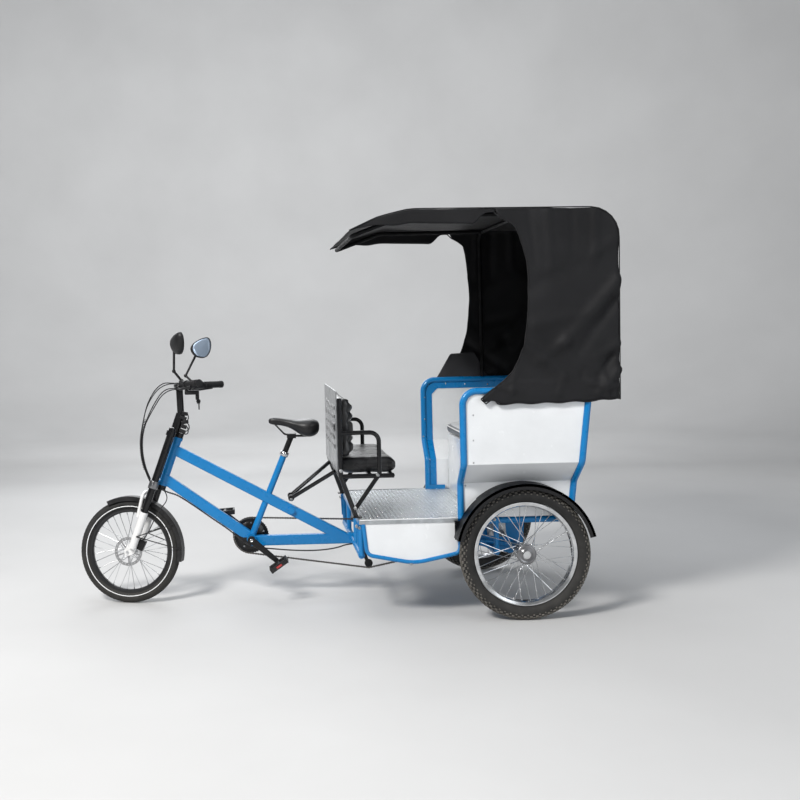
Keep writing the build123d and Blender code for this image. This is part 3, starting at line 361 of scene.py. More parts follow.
def join_pieces(name: str, pieces: Sequence[Piece]) -> Piece:
    """Join meshes into one object and keep their materials.

    Args:
        name: Name of the joined object.
        pieces: Mesh objects at the origin; they are used up.

    Returns:
        The joined object.
    """
    work = bmesh.new()
    materials: list[bpy.types.Material] = []
    for piece in pieces:
        slots = list(piece.data.materials)
        first = len(work.faces)
        work.from_mesh(piece.data)
        work.faces.ensure_lookup_table()
        for face in work.faces[first:] if slots else ():
            material = slots[face.material_index]
            if material not in materials:
                materials.append(material)
            face.material_index = materials.index(material)
    mesh = bpy.data.meshes.new(name)
    work.to_mesh(mesh)
    work.free()
    for material in materials:
        mesh.materials.append(material)
    for piece in pieces:
        bpy.data.objects.remove(piece)
    return add_object(name, mesh)


def fillet_path(points: Pairs, radii: Sequence[float], step: float) -> list[tuple[float, float]]:
    """Round the corners of a flat path and space points along it.

    Args:
        points: Corners as (x, z) in millimetres.
        radii: Radius at each inner corner.
        step: Spacing of the returned points.

    Returns:
        Points along the rounded path.
    """
    corners = [Vector(point) for point in points]
    stations: list[Vector] = [corners[0]]
    for index, radius in enumerate(radii, start=1):
        before = (corners[index - 1] - corners[index]).normalized()
        after = (corners[index + 1] - corners[index]).normalized()
        half = acos(max(-1.0, min(1.0, before.dot(after)))) / 2
        reach = radius / tan(half)
        start, stop = corners[index] + before * reach, corners[index] + after * reach
        centre = corners[index] + (before + after).normalized() * (radius / sin(half))
        turns = max(2, round(radius * (pi - 2 * half) / step * 2))
        for turn in range(turns + 1):
            spot = start.lerp(stop, turn / turns) - centre
            stations.append(centre + spot.normalized() * radius)
    stations.append(corners[-1])
    lengths = run_lengths(stations)
    count = max(2, round(lengths[-1] / step))
    spans = spans_at(lengths, [lengths[-1] * index / count for index in range(count + 1)])
    return [tuple(stations[span].lerp(stations[span + 1], part)) for span, part in spans]


def even_points(points: Pairs, count: int) -> list[tuple[float, float]]:
    """Space a number of points evenly along a flat line of points."""
    lengths = run_lengths(points)
    spans = spans_at(lengths, [lengths[-1] * index / (count - 1) for index in range(count)])
    return [tuple(points[span][axis] + (points[span + 1][axis] - points[span][axis]) * part for axis in (0, 1))
            for span, part in spans]


def lathe(name: str, outline: Pairs, turns: int) -> Piece:
    """Spin an outline about Z.

    Args:
        name: Object name.
        outline: Radius and height of each ring in millimetres, open or closed by its own shape.
        turns: Number of steps round the axis.

    Returns:
        A closed mesh object.
    """
    vertices = [Vector((radius * cos(2 * pi * step / turns), radius * sin(2 * pi * step / turns), height)) * MM
                for radius, height in outline for step in range(turns)]
    return close_up(mesh_piece(name, vertices, grid_faces(len(outline), turns, closed=True)), 1e-6, turns)


def block(name: str, size: Sequence[float], bevel: float, centre: Vector | None = None, segments: int = 2,
          profile: float = 0.6) -> Piece:
    """Make a block with bevelled edges.

    Args:
        name: Object name.
        size: Length along each axis in millimetres.
        bevel: Bevel width in millimetres.
        centre: Centre of the block in metres.
        segments: Number of steps across the bevel.
        profile: Roundness of the bevel.

    Returns:
        The mesh object.
    """
    work = bmesh.new()
    bmesh.ops.create_cube(work, size=1.0)
    bmesh.ops.scale(work, vec=Vector(size) * MM, verts=work.verts)
    bmesh.ops.bevel(work, geom=list(work.edges), offset=bevel * MM, segments=segments, profile=profile,
                    affect="EDGES")
    mesh = bpy.data.meshes.new(name)
    work.to_mesh(mesh)
    work.free()
    return set_down(add_object(name, mesh), centre or Vector())


# Node trees


class NodeTree:
    """Short ways to add nodes to a tree and to feed them."""

    def __init__(self, tree: bpy.types.NodeTree) -> None:
        """Keep the tree; only a group gets an entry."""
        self.tree = tree
        self.entry: bpy.types.Node | None = None

    def add(self, kind: str, feeds: dict[str | int, object] | None = None, **settings: object) -> bpy.types.Node:
        """Add a node.

        Args:
            kind: Blender's name of the node's type.
            feeds: What goes into each input, as for feed().
            settings: Properties of the node.

        Returns:
            The new node.
        """
        node = self.tree.nodes.new(kind)
        for key, value in settings.items():
            setattr(node, key, value)
        for label, value in (feeds or {}).items():
            self.feed(value, node.inputs[label])
        return node

    def feed(self, value: object, target: Socket) -> None:
        """Link an input to a socket or to the group input of that name, or else set its value."""
        source = self.entry.outputs[value] if isinstance(value, str) else value
        if isinstance(source, Socket):
            self.tree.links.new(source, target)
        else:
            target.default_value = source

    def math(self, kind: str, first: object, second: object = 0.0) -> Socket:
        """Combine two numbers and return the result's socket."""
        return self.add("ShaderNodeMath", {0: first, 1: second}, operation=kind).outputs[0]


class Group(NodeTree):
    """A node group with named inputs and one output."""

    def __init__(self, name: str, kind: str, inputs: dict[str, str], output: tuple[str, str]) -> None:
        """Start a group.

        Args:
            name: Name of the group.
            kind: Blender's name of the tree's type.
            inputs: Socket kind of each named input, such as Int or Float.
            output: Name and socket kind of the output.
        """
        super().__init__(bpy.data.node_groups.new(name, kind))
        for way, sockets in (("INPUT", inputs), ("OUTPUT", dict((output,)))):
            for label, socket in sockets.items():
                self.tree.interface.new_socket(label, in_out=way, socket_type=f"NodeSocket{socket}")
        self.entry = self.tree.nodes.new("NodeGroupInput")
        self.exit = self.tree.nodes.new("NodeGroupOutput")


class EffectGroup(Group):
    """A shared shader node group that puts out a mask or a height."""

    def __init__(self, name: str, inputs: dict[str, float], output: str) -> None:
        """Start a group.

        Args:
            name: Name of the group.
            inputs: Named number inputs with their defaults.
            output: Name of the one output.
        """
        kinds = {"Vector": "Vector", **dict.fromkeys(inputs, "Float")}
        super().__init__(name, "ShaderNodeTree", kinds, (output, "Float"))
        for item in self.tree.interface.items_tree:
            if item.name in inputs:
                item.default_value = inputs[item.name]

    def finish(self, result: Socket) -> bpy.types.NodeTree:
        """Link the result to the output and return the tree."""
        self.feed(result, self.exit.inputs[0])
        return self.tree


class Effects:
    """The shared effects, each built once."""

    def __init__(self) -> None:
        """Build every group."""
        self.mottle = self._mottle()
        self.grain = self._grain()
        self.weave = self._weave()
        self.pebble = self._pebble()
        self.streaks = self._streaks()
        self.road_dust = self._road_dust()

    def _mottle(self) -> bpy.types.NodeTree:
        """Broad soft clouds, from 0 to 1."""
        group = EffectGroup("mottle", {"Scale": 8.0, "Detail": 4.0}, "Mask")
        clouds = group.add("ShaderNodeTexNoise", {"Vector": "Vector", "Scale": "Scale", "Detail": "Detail"})
        spread = {"Value": clouds.outputs["Fac"], "From Min": 0.32, "From Max": 0.68}
        return group.finish(group.add("ShaderNodeMapRange", spread).outputs["Result"])

    def _grain(self) -> bpy.types.NodeTree:
        """Fine even grain for moulded plastic, rubber and orange peel."""
        group = EffectGroup("grain", {"Scale": 900.0}, "Height")
        speck = group.add("ShaderNodeTexNoise", {"Vector": "Vector", "Scale": "Scale", "Detail": 2.0})
        return group.finish(speck.outputs["Fac"])

    def _weave(self) -> bpy.types.NodeTree:
        """Plain weave of two crossing threads."""
        group = EffectGroup("weave", {"Scale": 260.0}, "Height")
        feeds = {"Vector": "Vector", "Scale": "Scale", "Distortion": 0.6}
        threads = [group.add("ShaderNodeTexWave", feeds, wave_type="BANDS", bands_direction=way).outputs["Fac"]
                   for way in ("DIAGONAL", "Z")]
        return group.finish(group.math("MAXIMUM", *threads))

    def _pebble(self) -> bpy.types.NodeTree:
        """Pebbled grain of coated cloth."""
        group = EffectGroup("pebble", {"Scale": 420.0}, "Height")
        cells = group.add("ShaderNodeTexVoronoi", {"Vector": "Vector", "Scale": "Scale"}, feature="SMOOTH_F1")
        return group.finish(cells.outputs["Distance"])

    def _streaks(self) -> bpy.types.NodeTree:
        """Long fine streaks along one axis, as brushing or wiping leaves them."""
        group = EffectGroup("streaks", {"Scale": 60.0, "Stretch": 0.05}, "Mask")
        turn = group.add("ShaderNodeCombineXYZ", {0: 1.0, 1: 1.0, 2: "Stretch"})
        stretch = group.add("ShaderNodeVectorMath", {0: "Vector", 1: turn.outputs[0]}, operation="MULTIPLY")
        lines = group.add("ShaderNodeTexNoise", {"Vector": stretch.outputs[0], "Scale": "Scale", "Detail": 3.0})
        return group.finish(lines.outputs["Fac"])

    def _road_dust(self) -> bpy.types.NodeTree:
        """Dust that thins out with height above the road."""
        group = EffectGroup("road_dust", {"Reach": 0.5, "Scale": 14.0}, "Mask")
        height = group.add("ShaderNodeSeparateXYZ", {0: "Vector"}).outputs[2]
        rise = group.math("DIVIDE", height, "Reach")
        fade = group.add("ShaderNodeMath", {0: 1.0, 1: rise}, operation="SUBTRACT", use_clamp=True)
        clouds = group.add("ShaderNodeTexNoise", {"Vector": "Vector", "Scale": "Scale", "Detail": 6.0})
        return group.finish(group.math("MULTIPLY", fade.outputs[0], clouds.outputs["Fac"]))


EFFECTS = Effects()
DUST: Colour = (0.32, 0.29, 0.25)


class Shader(NodeTree):
    """A node material with one Principled BSDF."""

    def __init__(self, name: str) -> None:
        """Start a material with its output and BSDF."""
        self.material = bpy.data.materials.new(name)
        self.material.use_nodes = True
        super().__init__(self.material.node_tree)
        self.tree.nodes.clear()
        self.bsdf = self.add("ShaderNodeBsdfPrincipled")
        self.add("ShaderNodeOutputMaterial", {"Surface": self.bsdf.outputs["BSDF"]})
        self.coordinates = self.add("ShaderNodeTexCoord").outputs["Object"]

    def put(self, feeds: dict[str, object]) -> None:
        """Feed inputs of the BSDF."""
        for label, value in feeds.items():
            self.feed(value, self.bsdf.inputs[label])

    def effect(self, group: bpy.types.NodeTree, **values: float) -> Socket:
        """Place a shared effect, fed by object coordinates, with its own values."""
        return self.add("ShaderNodeGroup", {"Vector": self.coordinates, **values}, node_tree=group).outputs[0]

    def mix(self, mask: Socket, first: Colour | Socket, second: Colour | Socket) -> Socket:
        """Mix two colours by a mask and return the result's socket."""
        first, second = (value if isinstance(value, Socket) else (*value, 1.0) for value in (first, second))
        return self.add("ShaderNodeMix", {0: mask, 6: first, 7: second}, data_type="RGBA").outputs[2]

    def vary(self, mask: Socket, low: float, high: float) -> Socket:
        """Turn a mask into a number between two values."""
        return self.add("ShaderNodeMapRange", {"Value": mask, "To Min": low, "To Max": high}).outputs["Result"]

    def dusted(self, base: Socket, amount: float, reach: float, scale: float) -> Socket:
        """Lay road dust over a colour."""
        dust = self.effect(EFFECTS.road_dust, Reach=reach, Scale=scale)
        return self.mix(self.vary(dust, 0.0, amount), base, DUST)

    def bump(self, height: Socket, strength: float, distance: float) -> None:
        """Feed a height to the BSDF's normal."""
        node = self.add("ShaderNodeBump", {"Height": height, "Strength": strength, "Distance": distance})
        self.put({"Normal": node.outputs["Normal"]})


# Finishes


def toned(colour: Colour, share: float, lift: float = 0.0) -> Colour:
    """Scale a colour and lift it."""
    return tuple(min(1.0, channel * share + lift) for channel in colour)


_made: dict[str, bpy.types.Material] = {}


@dataclass(frozen=True)
class Finish:
    """What every finish has: a name, a colour and how rough it is."""

    name: str
    colour: Colour
    roughness: float = 0.4

    def material(self) -> bpy.types.Material:
        """Return the finish's material, built on first use."""
        if self.name not in _made:
            shader = Shader(self.name)
            self.build(shader)
            _made[self.name] = shader.material
        return _made[self.name]

    def build(self, shader: Shader) -> None:
        """Fill the shader; each kind of finish has its own way."""
        raise NotImplementedError

    def dress(self, piece: Piece) -> Piece:
        """Give the finish to every slot of a piece."""
        slots = piece.data.materials
        if len(slots) == 0:
            slots.append(self.material())
        for index in range(len(slots)):
            slots[index] = self.material()
        return piece


@dataclass(frozen=True)
class Paint(Finish):
    """Sprayed enamel with orange peel, faint tone changes and road dust low down."""

    coat: float = 0.5
    peel: float = 0.05
    dust: float = 0.35
    gleam: float = 0.5

    def build(self, shader: Shader) -> None:
        """Colour, gloss, peel and dust."""
        tone, wipe = (shader.effect(EFFECTS.mottle, Scale=scale) for scale in (6.0, 22.0))
        paint = shader.mix(tone, toned(self.colour, 0.9), self.colour)
        shader.put({"Base Color": shader.dusted(paint, self.dust, 0.55, 18.0),
                    "Roughness": shader.vary(wipe, self.roughness * 0.8, self.roughness * 1.25),
                    "Specular IOR Level": self.gleam, "Coat Weight": self.coat, "Coat Roughness": 0.08})
        shader.bump(shader.effect(EFFECTS.grain, Scale=320.0), self.peel, 0.001)


@dataclass(frozen=True)
class BareMetal(Finish):
    """Plated or brushed metal with fine streaks and dull patches."""

    streak: float = 0.25
    stretch: float = 0.06
    lines: float = 240.0
    tarnish: float = 0.72

    def build(self, shader: Shader) -> None:
        """Metal with streaked roughness."""
        lines = shader.effect(EFFECTS.streaks, Scale=self.lines, Stretch=self.stretch)
        dull = shader.effect(EFFECTS.mottle, Scale=30.0)
        low, high = self.roughness * (1 - self.streak), self.roughness * (1 + self.streak)
        shader.put({"Base Color": shader.mix(dull, toned(self.colour, self.tarnish), self.colour),
                    "Roughness": shader.vary(lines, low, high), "Metallic": 1.0})
        shader.bump(lines, 0.08, 0.0004)


@dataclass(frozen=True)
class PaintedRim(Finish):
    """Wheel whose rim is painted and whose spokes and hub are bright."""

    bright: Colour = (0.80, 0.81, 0.82)
    rim_radius: float = 0.187
    hub: tuple[float, float, float] = (0.0, 0.0, 0.0)

    def build(self, shader: Shader) -> None:
        """Change from bright metal to paint at the rim's radius."""
        away = shader.add("ShaderNodeVectorMath", {0: shader.coordinates, 1: self.hub}, operation="DISTANCE")
        outside = shader.math("GREATER_THAN", away.outputs["Value"], self.rim_radius)
        bright = shader.mix(shader.effect(EFFECTS.mottle, Scale=40.0), toned(self.bright, 0.8), self.bright)
        shader.put({"Base Color": shader.mix(outside, bright, self.colour),
                    "Metallic": shader.vary(outside, 1.0, 0.0),
                    "Roughness": shader.vary(outside, 0.2, self.roughness)})
        shader.bump(shader.effect(EFFECTS.grain, Scale=500.0), 0.06, 0.0005)


@dataclass(frozen=True)
class Moulded(Finish):
    """Moulded plastic or rubber with a fine grain and dust in it."""

    grain: float = 700.0
    depth: float = 0.25
    dust: float = 0.2
    gleam: float = 0.3

    def build(self, shader: Shader) -> None:
        """Grained surface with a slight bloom."""
        bloom = shader.effect(EFFECTS.mottle, Scale=26.0)
        base = shader.mix(bloom, self.colour, toned(self.colour, 1.6, 0.004))
        shader.put({"Base Color": shader.dusted(base, self.dust, 0.6, 26.0),
                    "Roughness": shader.vary(bloom, self.roughness * 0.85, self.roughness * 1.15),
                    "Specular IOR Level": self.gleam})
        shader.bump(shader.effect(EFFECTS.grain, Scale=self.grain), self.depth, 0.0006)


@dataclass(frozen=True)
class CoatedCanvas(Finish):
    """Black coated canvas with its weave, a dull sheen and faint creases worn pale."""

    weave: float = 320.0

    def build(self, shader: Shader) -> None:
        """Woven cloth with sheen."""
        creases = shader.effect(EFFECTS.mottle, Scale=5.0, Detail=6.0)
        shader.put({"Base Color": shader.mix(creases, self.colour, toned(self.colour, 1.5, 0.003)),
                    "Roughness": shader.vary(creases, self.roughness * 0.9, self.roughness * 1.1),
                    "Sheen Weight": 0.05, "Sheen Roughness": 0.4, "Specular IOR Level": 0.22})
        shader.bump(shader.effect(EFFECTS.weave, Scale=self.weave), 0.25, 0.0005)


@dataclass(frozen=True)
class Vinyl(Finish):
    """Upholstery vinyl with a pebbled grain and a soft shine on worn spots."""

    pebble: float = 520.0
    shine: float = 0.3

    def build(self, shader: Shader) -> None:
        """Pebbled vinyl."""
        wear = shader.effect(EFFECTS.mottle, Scale=9.0, Detail=5.0)
        shader.put({"Base Color": shader.mix(wear, self.colour, toned(self.colour, 1.25, 0.006)),
                    "Roughness": shader.vary(wear, self.roughness * 0.75, self.roughness * 1.2),
                    "Specular IOR Level": 0.35, "Coat Weight": self.shine, "Coat Roughness": 0.3})
        shader.bump(shader.effect(EFFECTS.pebble, Scale=self.pebble), 0.35, 0.0006)


@dataclass(frozen=True)
class Silvered(Finish):
    """Mirror glass with faint wipe marks and a pale bluish diffuse share that is a painted reflection of the sky."""

    # Diffuse share of the glass, which shows its pale blue colour as a painted sky reflection
    bloom: float = 0.45

    def build(self, shader: Shader) -> None:
        """Bright metal under a clear coat."""
        wipes = shader.effect(EFFECTS.mottle, Scale=18.0, Detail=6.0)
        shader.put({"Base Color": shader.mix(wipes, toned(self.colour, 0.93), self.colour),
                    "Roughness": shader.vary(wipes, self.roughness, self.roughness + 0.03),
                    "Metallic": 1.0 - self.bloom, "Coat Weight": 1.0})


@dataclass(frozen=True)
class PrismReflector(Finish):
    """Coloured reflector with small prism cells."""

    def build(self, shader: Shader) -> None:
        """Cells under a glossy face."""
        cells = shader.effect(EFFECTS.pebble, Scale=300.0)
        shader.put({"Base Color": shader.mix(cells, self.colour, toned(self.colour, 0.35)),
                    "Roughness": shader.vary(cells, self.roughness, self.roughness + 0.1), "Coat Weight": 1.0})
        shader.bump(cells, 0.4, 0.0006)


FRAME_BLUE = Paint("frame_blue", (0.004, 0.195, 0.50), 0.3, coat=0.22, dust=0.02, gleam=0.35)
GLOSS_BLACK = Paint("gloss_black", (0.005, 0.005, 0.006), 0.22, coat=0.22, dust=0.03, gleam=0.3)
SATIN_BLACK = Paint("satin_black", (0.006, 0.006, 0.007), 0.4, coat=0.05, dust=0.03, gleam=0.28)
HOOP_BLACK = Paint("hoop_black", (0.005, 0.005, 0.006), 0.62, coat=0.0, dust=0.0, gleam=0.2)
BODY_WHITE = Paint("body_white", (0.84, 0.86, 0.88), 0.22, coat=0.6, peel=0.03, dust=0.06)
FORK_WHITE = Paint("fork_white", (0.84, 0.84, 0.84), 0.25, coat=0.6, dust=0.05)
BOARD_GREY = BareMetal("board_grey", (0.50, 0.51, 0.52), 0.26, streak=0.8, stretch=0.02, lines=34.0,
                       tarnish=0.55)
CHROME = BareMetal("chrome", (0.78, 0.79, 0.80), 0.12)
ZINC = BareMetal("zinc", (0.55, 0.56, 0.57), 0.32)
DISC_STEEL = BareMetal("disc_steel", (0.50, 0.50, 0.51), 0.3)
CHAIN_STEEL = BareMetal("chain_steel", (0.16, 0.15, 0.14), 0.42)
CHECKER = BareMetal("checker_aluminium", (0.66, 0.69, 0.72), 0.36)
LOZENGE = BareMetal("lozenge_aluminium", (0.90, 0.92, 0.94), 0.22, tarnish=0.9)
BLACK_RIM = PaintedRim("black_rim", (0.012, 0.012, 0.013), 0.32, hub=tuple(FRONT_HUB))
TYRE = Moulded("tyre_rubber", (0.013, 0.013, 0.013), 0.7, grain=420.0, dust=0.1)
# Paler rubber of the knobs: partly road dust, partly painted sunlight on the tread
TREAD_DUSTY_PAINTED_LIT = Moulded("tread_dusty", (0.085, 0.080, 0.072), 0.85, grain=420.0, dust=0.35)
DARK_METAL = BareMetal("dark_hub_metal", (0.30, 0.30, 0.31), 0.3)
RUBBER = Moulded("soft_rubber", (0.008, 0.008, 0.009), 0.68, grain=800.0, dust=0.08)
CABLE = Moulded("cable_jacket", (0.009, 0.009, 0.010), 0.45, grain=1200.0, depth=0.08)
GUARD_BLACK = Paint("guard_black", (0.003, 0.004, 0.006), 0.45, coat=0.06, dust=0.02, gleam=0.1)
PLASTIC = Moulded("black_plastic", (0.008, 0.008, 0.009), 0.45, grain=1100.0, depth=0.12, dust=0.06)
CANVAS = CoatedCanvas("hood_canvas_black", (0.0065, 0.0065, 0.0075), 0.6)
# Paler copy of the black canvas for the inner flap: painted light where the sun falls on the fold
CANVAS_PAINTED_LIT = CoatedCanvas("hood_canvas_faded", (0.030, 0.030, 0.033), 0.7)
BLACK_VINYL = Vinyl("black_vinyl", (0.008, 0.008, 0.009), 0.28, shine=0.45)
SADDLE_VINYL = Vinyl("saddle_vinyl", (0.005, 0.005, 0.006), 0.42, shine=0.08)
GREY_VINYL = Vinyl("grey_vinyl", (0.47, 0.48, 0.49), 0.45, shine=0.1)
DARK_GREY_VINYL = Vinyl("dark_grey_vinyl", (0.16, 0.165, 0.17), 0.5, shine=0.1)
PIPING = Vinyl("pale_piping", (0.74, 0.74, 0.73), 0.4, pebble=900.0)
# Pale sky-blue glass: the blue is a painted reflection of the sky
MIRROR_PAINTED_SKY = Silvered("mirror_silver", (0.62, 0.76, 0.95), 0.06)
RED_REFLECTOR = PrismReflector("red_reflector", (0.55, 0.02, 0.02), 0.15)
STRIPE = Paint("reflective_stripe", (0.92, 0.93, 0.94), 0.3, coat=0.0, dust=0.05)

# Names of the CAD nodes that have each finish
NODE_FINISHES: tuple[tuple[Finish, str], ...] = (
    (FRAME_BLUE, "apron_trim down_tube floor_frame head_tube left_body_frame rear_body_bars right_body_frame"
                 " seat_tube spine_tube top_tube"),
    (BODY_WHITE, "left_side_panel rear_panel right_side_panel seat_base side_aprons"),
    (PLASTIC, "bar_controls front_mudguard left_pedal mirror_housings right_pedal"),
    (SATIN_BLACK, "brake_caliper chain_tensioner crankset handlebar seat_post"),
    (GLOSS_BLACK, "bench_frame bench_struts fork_uppers"),
    (HOOP_BLACK, "hood_front_hoop hood_rear_hoop visor_frame"),
    (TYRE, "front_tyre left_rear_tyre right_rear_tyre"),
    (BLACK_VINYL, "bench_back_cushion bench_seat_cushion saddle"),
    (GREY_VINYL, "passenger_backrest passenger_cushion"),
    (CHROME, "left_rear_wheel right_rear_wheel"),
    (BOARD_GREY, "bench_board"), (DISC_STEEL, "brake_disc"), (CABLE, "cable_bundle"), (CHECKER, "floor_plate"),
    (FORK_WHITE, "fork_lowers"), (BLACK_RIM, "front_wheel"), (RUBBER, "grips"), (MIRROR_PAINTED_SKY, "mirror_glasses"),
    (ZINC, "rear_axle"), (GUARD_BLACK, "rear_mudguards"), (CHAIN_STEEL, "chain"), (CANVAS, "hood_canvas"),
)


@dataclass
class Fixture:
    """Anything built and reported as pieces of the scene."""

    body: str = "chassis"

    def settle(self, piece: Piece, finish: Finish | None = None, body: str = "", slot: str = "",
               stands_for: str = "") -> Piece:
        """Finish a piece, tie it to its body and log its size.

        Args:
            piece: Mesh object in its place.
            finish: Finish of the whole piece; none leaves it as it is.
            body: Body that carries it, if not the fixture's own.
            slot: Material slot that the piece belongs to, if any; not used.
            stands_for: CAD node that the piece stands for, if any.

        Returns:
            The piece.
        """
        if finish is not None:
            finish.dress(piece)
        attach(piece, body or self.body)
        if stands_for:
            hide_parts(stands_for)
        self.report(piece)
        return piece

    def report(self, piece: Piece) -> None:
        """Log the piece with its size."""
        log.info("%s: %.0f x %.0f x %.0f mm", piece.name, *(piece.dimensions / MM))


# Trees that repeat a shape


class GeometryTree(Group):
    """A Geometry Nodes tree that sets a stamp on points, realized and with one material."""

    def __init__(self, name: str, inputs: dict[str, str]) -> None:
        """Start a tree with the socket kind of each input besides the stamp and the finish."""
        kinds = {"Geometry": "Geometry", "Stamp": "Object", **inputs, "Finish": "Material"}
        super().__init__(name, "GeometryNodeTree", kinds, ("Geometry", "Geometry"))
        self.tree.is_modifier = True

    def index(self) -> Socket:
        """The number of each point."""
        return self.add("GeometryNodeInputIndex").outputs[0]

    def turned(self, axis: int, angle: Socket) -> Socket:
        """Rotation about one axis."""
        vector = self.add("ShaderNodeCombineXYZ", {axis: angle}).outputs[0]
        return self.add("FunctionNodeEulerToRotation", {0: vector}).outputs[0]

    def close(self, **feeds: object) -> "GeometryTree":
        """Set the stamps on the points, realize them, give them their finish and link the output."""
        stamp = self.add("GeometryNodeObjectInfo", {"Object": "Stamp"}, transform_space="ORIGINAL")
        stamps = self.add("GeometryNodeInstanceOnPoints", {**feeds, "Instance": stamp.outputs["Geometry"]})
        realize = self.add("GeometryNodeRealizeInstances", {"Geometry": stamps.outputs["Instances"]})
        finish = self.add("GeometryNodeSetMaterial", {"Geometry": realize.outputs[0], "Material": "Finish"})
        self.feed(finish.outputs["Geometry"], self.exit.inputs["Geometry"])
        return self

    def run(self, host: Piece, finish: Finish, stamp: Piece, **values: object) -> Piece:
        """Run the tree on a host and leave a plain mesh.

        Args:
            host: Mesh object whose points or edges the tree uses.
            finish: Finish of the result.
            stamp: Object that is repeated; it is used up.
            values: Value of each named input.

        Returns:
            The host, now holding the result.
        """
        modifier = host.modifiers.new(self.tree.name, "NODES")
        modifier.node_group = self.tree
        given = {"Stamp": stamp, "Finish": finish.material()}
        given |= {key.title(): value for key, value in values.items()}
        for item in self.tree.interface.items_tree:
            if item.name in given:
                modifier[item.identifier] = given[item.name]
        bake(host)
        bpy.data.objects.remove(stamp)
        host.data.materials.clear()
        return finish.dress(host)


def _points_tree() -> GeometryTree:
    """Stamps on the host's points, turned by their turn attribute."""
    tree = GeometryTree("stamps_on_points", {})
    turn = tree.add("GeometryNodeInputNamedAttribute", data_type="FLOAT_VECTOR")
    turn.inputs["Name"].default_value = "turn"
    rotation = tree.add("FunctionNodeEulerToRotation", {0: turn.outputs["Attribute"]})
    return tree.close(Points="Geometry", Rotation=rotation.outputs[0])


def _route_tree() -> GeometryTree:
    """Stamps along the host's edges at an even spacing; every so many, starting at one of them."""
    tree = GeometryTree("stamps_on_route", {"Spacing": "Float", "Every": "Int", "Start": "Int"})
    curve = tree.add("GeometryNodeMeshToCurve", {0: "Geometry"})
    spots = tree.add("GeometryNodeCurveToPoints", {"Curve": curve.outputs[0], "Length": "Spacing"}, mode="LENGTH")
    align = tree.add("FunctionNodeAlignRotationToVector", {"Vector": spots.outputs["Tangent"]}, axis="X")
    order = tree.math("MODULO", tree.index(), "Every")
    chosen = tree.add("FunctionNodeCompare", {0: order, 1: "Start"}, data_type="FLOAT", operation="EQUAL")
    return tree.close(Points=spots.outputs["Points"], Selection=chosen.outputs[0], Rotation=align.outputs[0])


def _ring_tree() -> GeometryTree:
    """Stamps evenly round a ring about Z, each with its X axis pointing out."""
    tree = GeometryTree("stamps_round_axle", {"Count": "Int", "Radius": "Float", "Offset": "Float", "Phase": "Float"})
    ring = tree.add("GeometryNodeMeshCircle", {"Vertices": "Count"})
    angle = tree.math("MULTIPLY", tree.math("ADD", tree.index(), "Phase"), tree.math("DIVIDE", 2 * pi, "Count"))
    across = {axis: tree.math("MULTIPLY", tree.math(wave, angle), "Radius")
              for axis, wave in enumerate(("COSINE", "SINE"))}
    spot = tree.add("ShaderNodeCombineXYZ", {**across, 2: "Offset"})
    moved = tree.add("GeometryNodeSetPosition", {"Geometry": ring.outputs["Mesh"], "Position": spot.outputs[0]})
    return tree.close(Points=moved.outputs["Geometry"], Rotation=tree.turned(2, angle))


def _plate_tree() -> GeometryTree:
    """Stamps on a flat field, each turned a right angle from its neighbours, as on checker plate."""
    tree = GeometryTree("stamps_on_plate", {"Length": "Float", "Width": "Float", "Rows": "Int", "Columns": "Int"})
    field = tree.add("GeometryNodeMeshGrid", {"Size X": "Length", "Size Y": "Width", "Vertices X": "Rows",
                                              "Vertices Y": "Columns"})
    row = tree.math("FLOOR", tree.math("DIVIDE", tree.index(), "Columns"))
    column = tree.math("MODULO", tree.index(), "Columns")
    odd = tree.math("MODULO", tree.math("ADD", row, column), 2.0)
    angle = tree.math("ADD", tree.math("MULTIPLY", odd, pi / 2), pi / 4)
    return tree.close(Points=field.outputs["Mesh"], Rotation=tree.turned(2, angle))


class Trees:
    """The trees, each built once."""

    points = _points_tree()
    route = _route_tree()
    ring = _ring_tree()
    plate = _plate_tree()


def points_host(name: str, points: Points, turns: Sequence[Euler]) -> Piece:
    """Make the host of the points tree from the place and the turn of each stamp."""
    host = mesh_piece(name, points, [])
    host.data.attributes.new("turn", "FLOAT_VECTOR", "POINT")
    for item, euler in zip(host.data.attributes["turn"].data, turns):
        item.vector = tuple(euler)
    return host


def round_axle(name: str, finish: Finish, stamp: Piece, count: int, radius: float, offset: float = 0.0,
               phase: float = 0.0) -> Piece:
    """Set stamps round the Z axis.

    Args:
        name: Name of the piece that they become.
        finish: Finish of the stamps.
        stamp: Object that is repeated; it is used up.
        count: Number of stamps.
        radius: Radius of the ring in millimetres.
        offset: Height of the ring in millimetres.
        phase: Share of a step by which the ring is turned.

    Returns:
        The piece.
    """
    return Trees.ring.run(mesh_piece(name, [Vector()], []), finish, stamp, count=count, radius=radius * MM,
                          offset=offset * MM, phase=phase)


class Head(Enum):
    """Kinds of fastener head."""

    RIVET = "rivet"
    BOLT = "bolt"
    SOCKET = "socket"


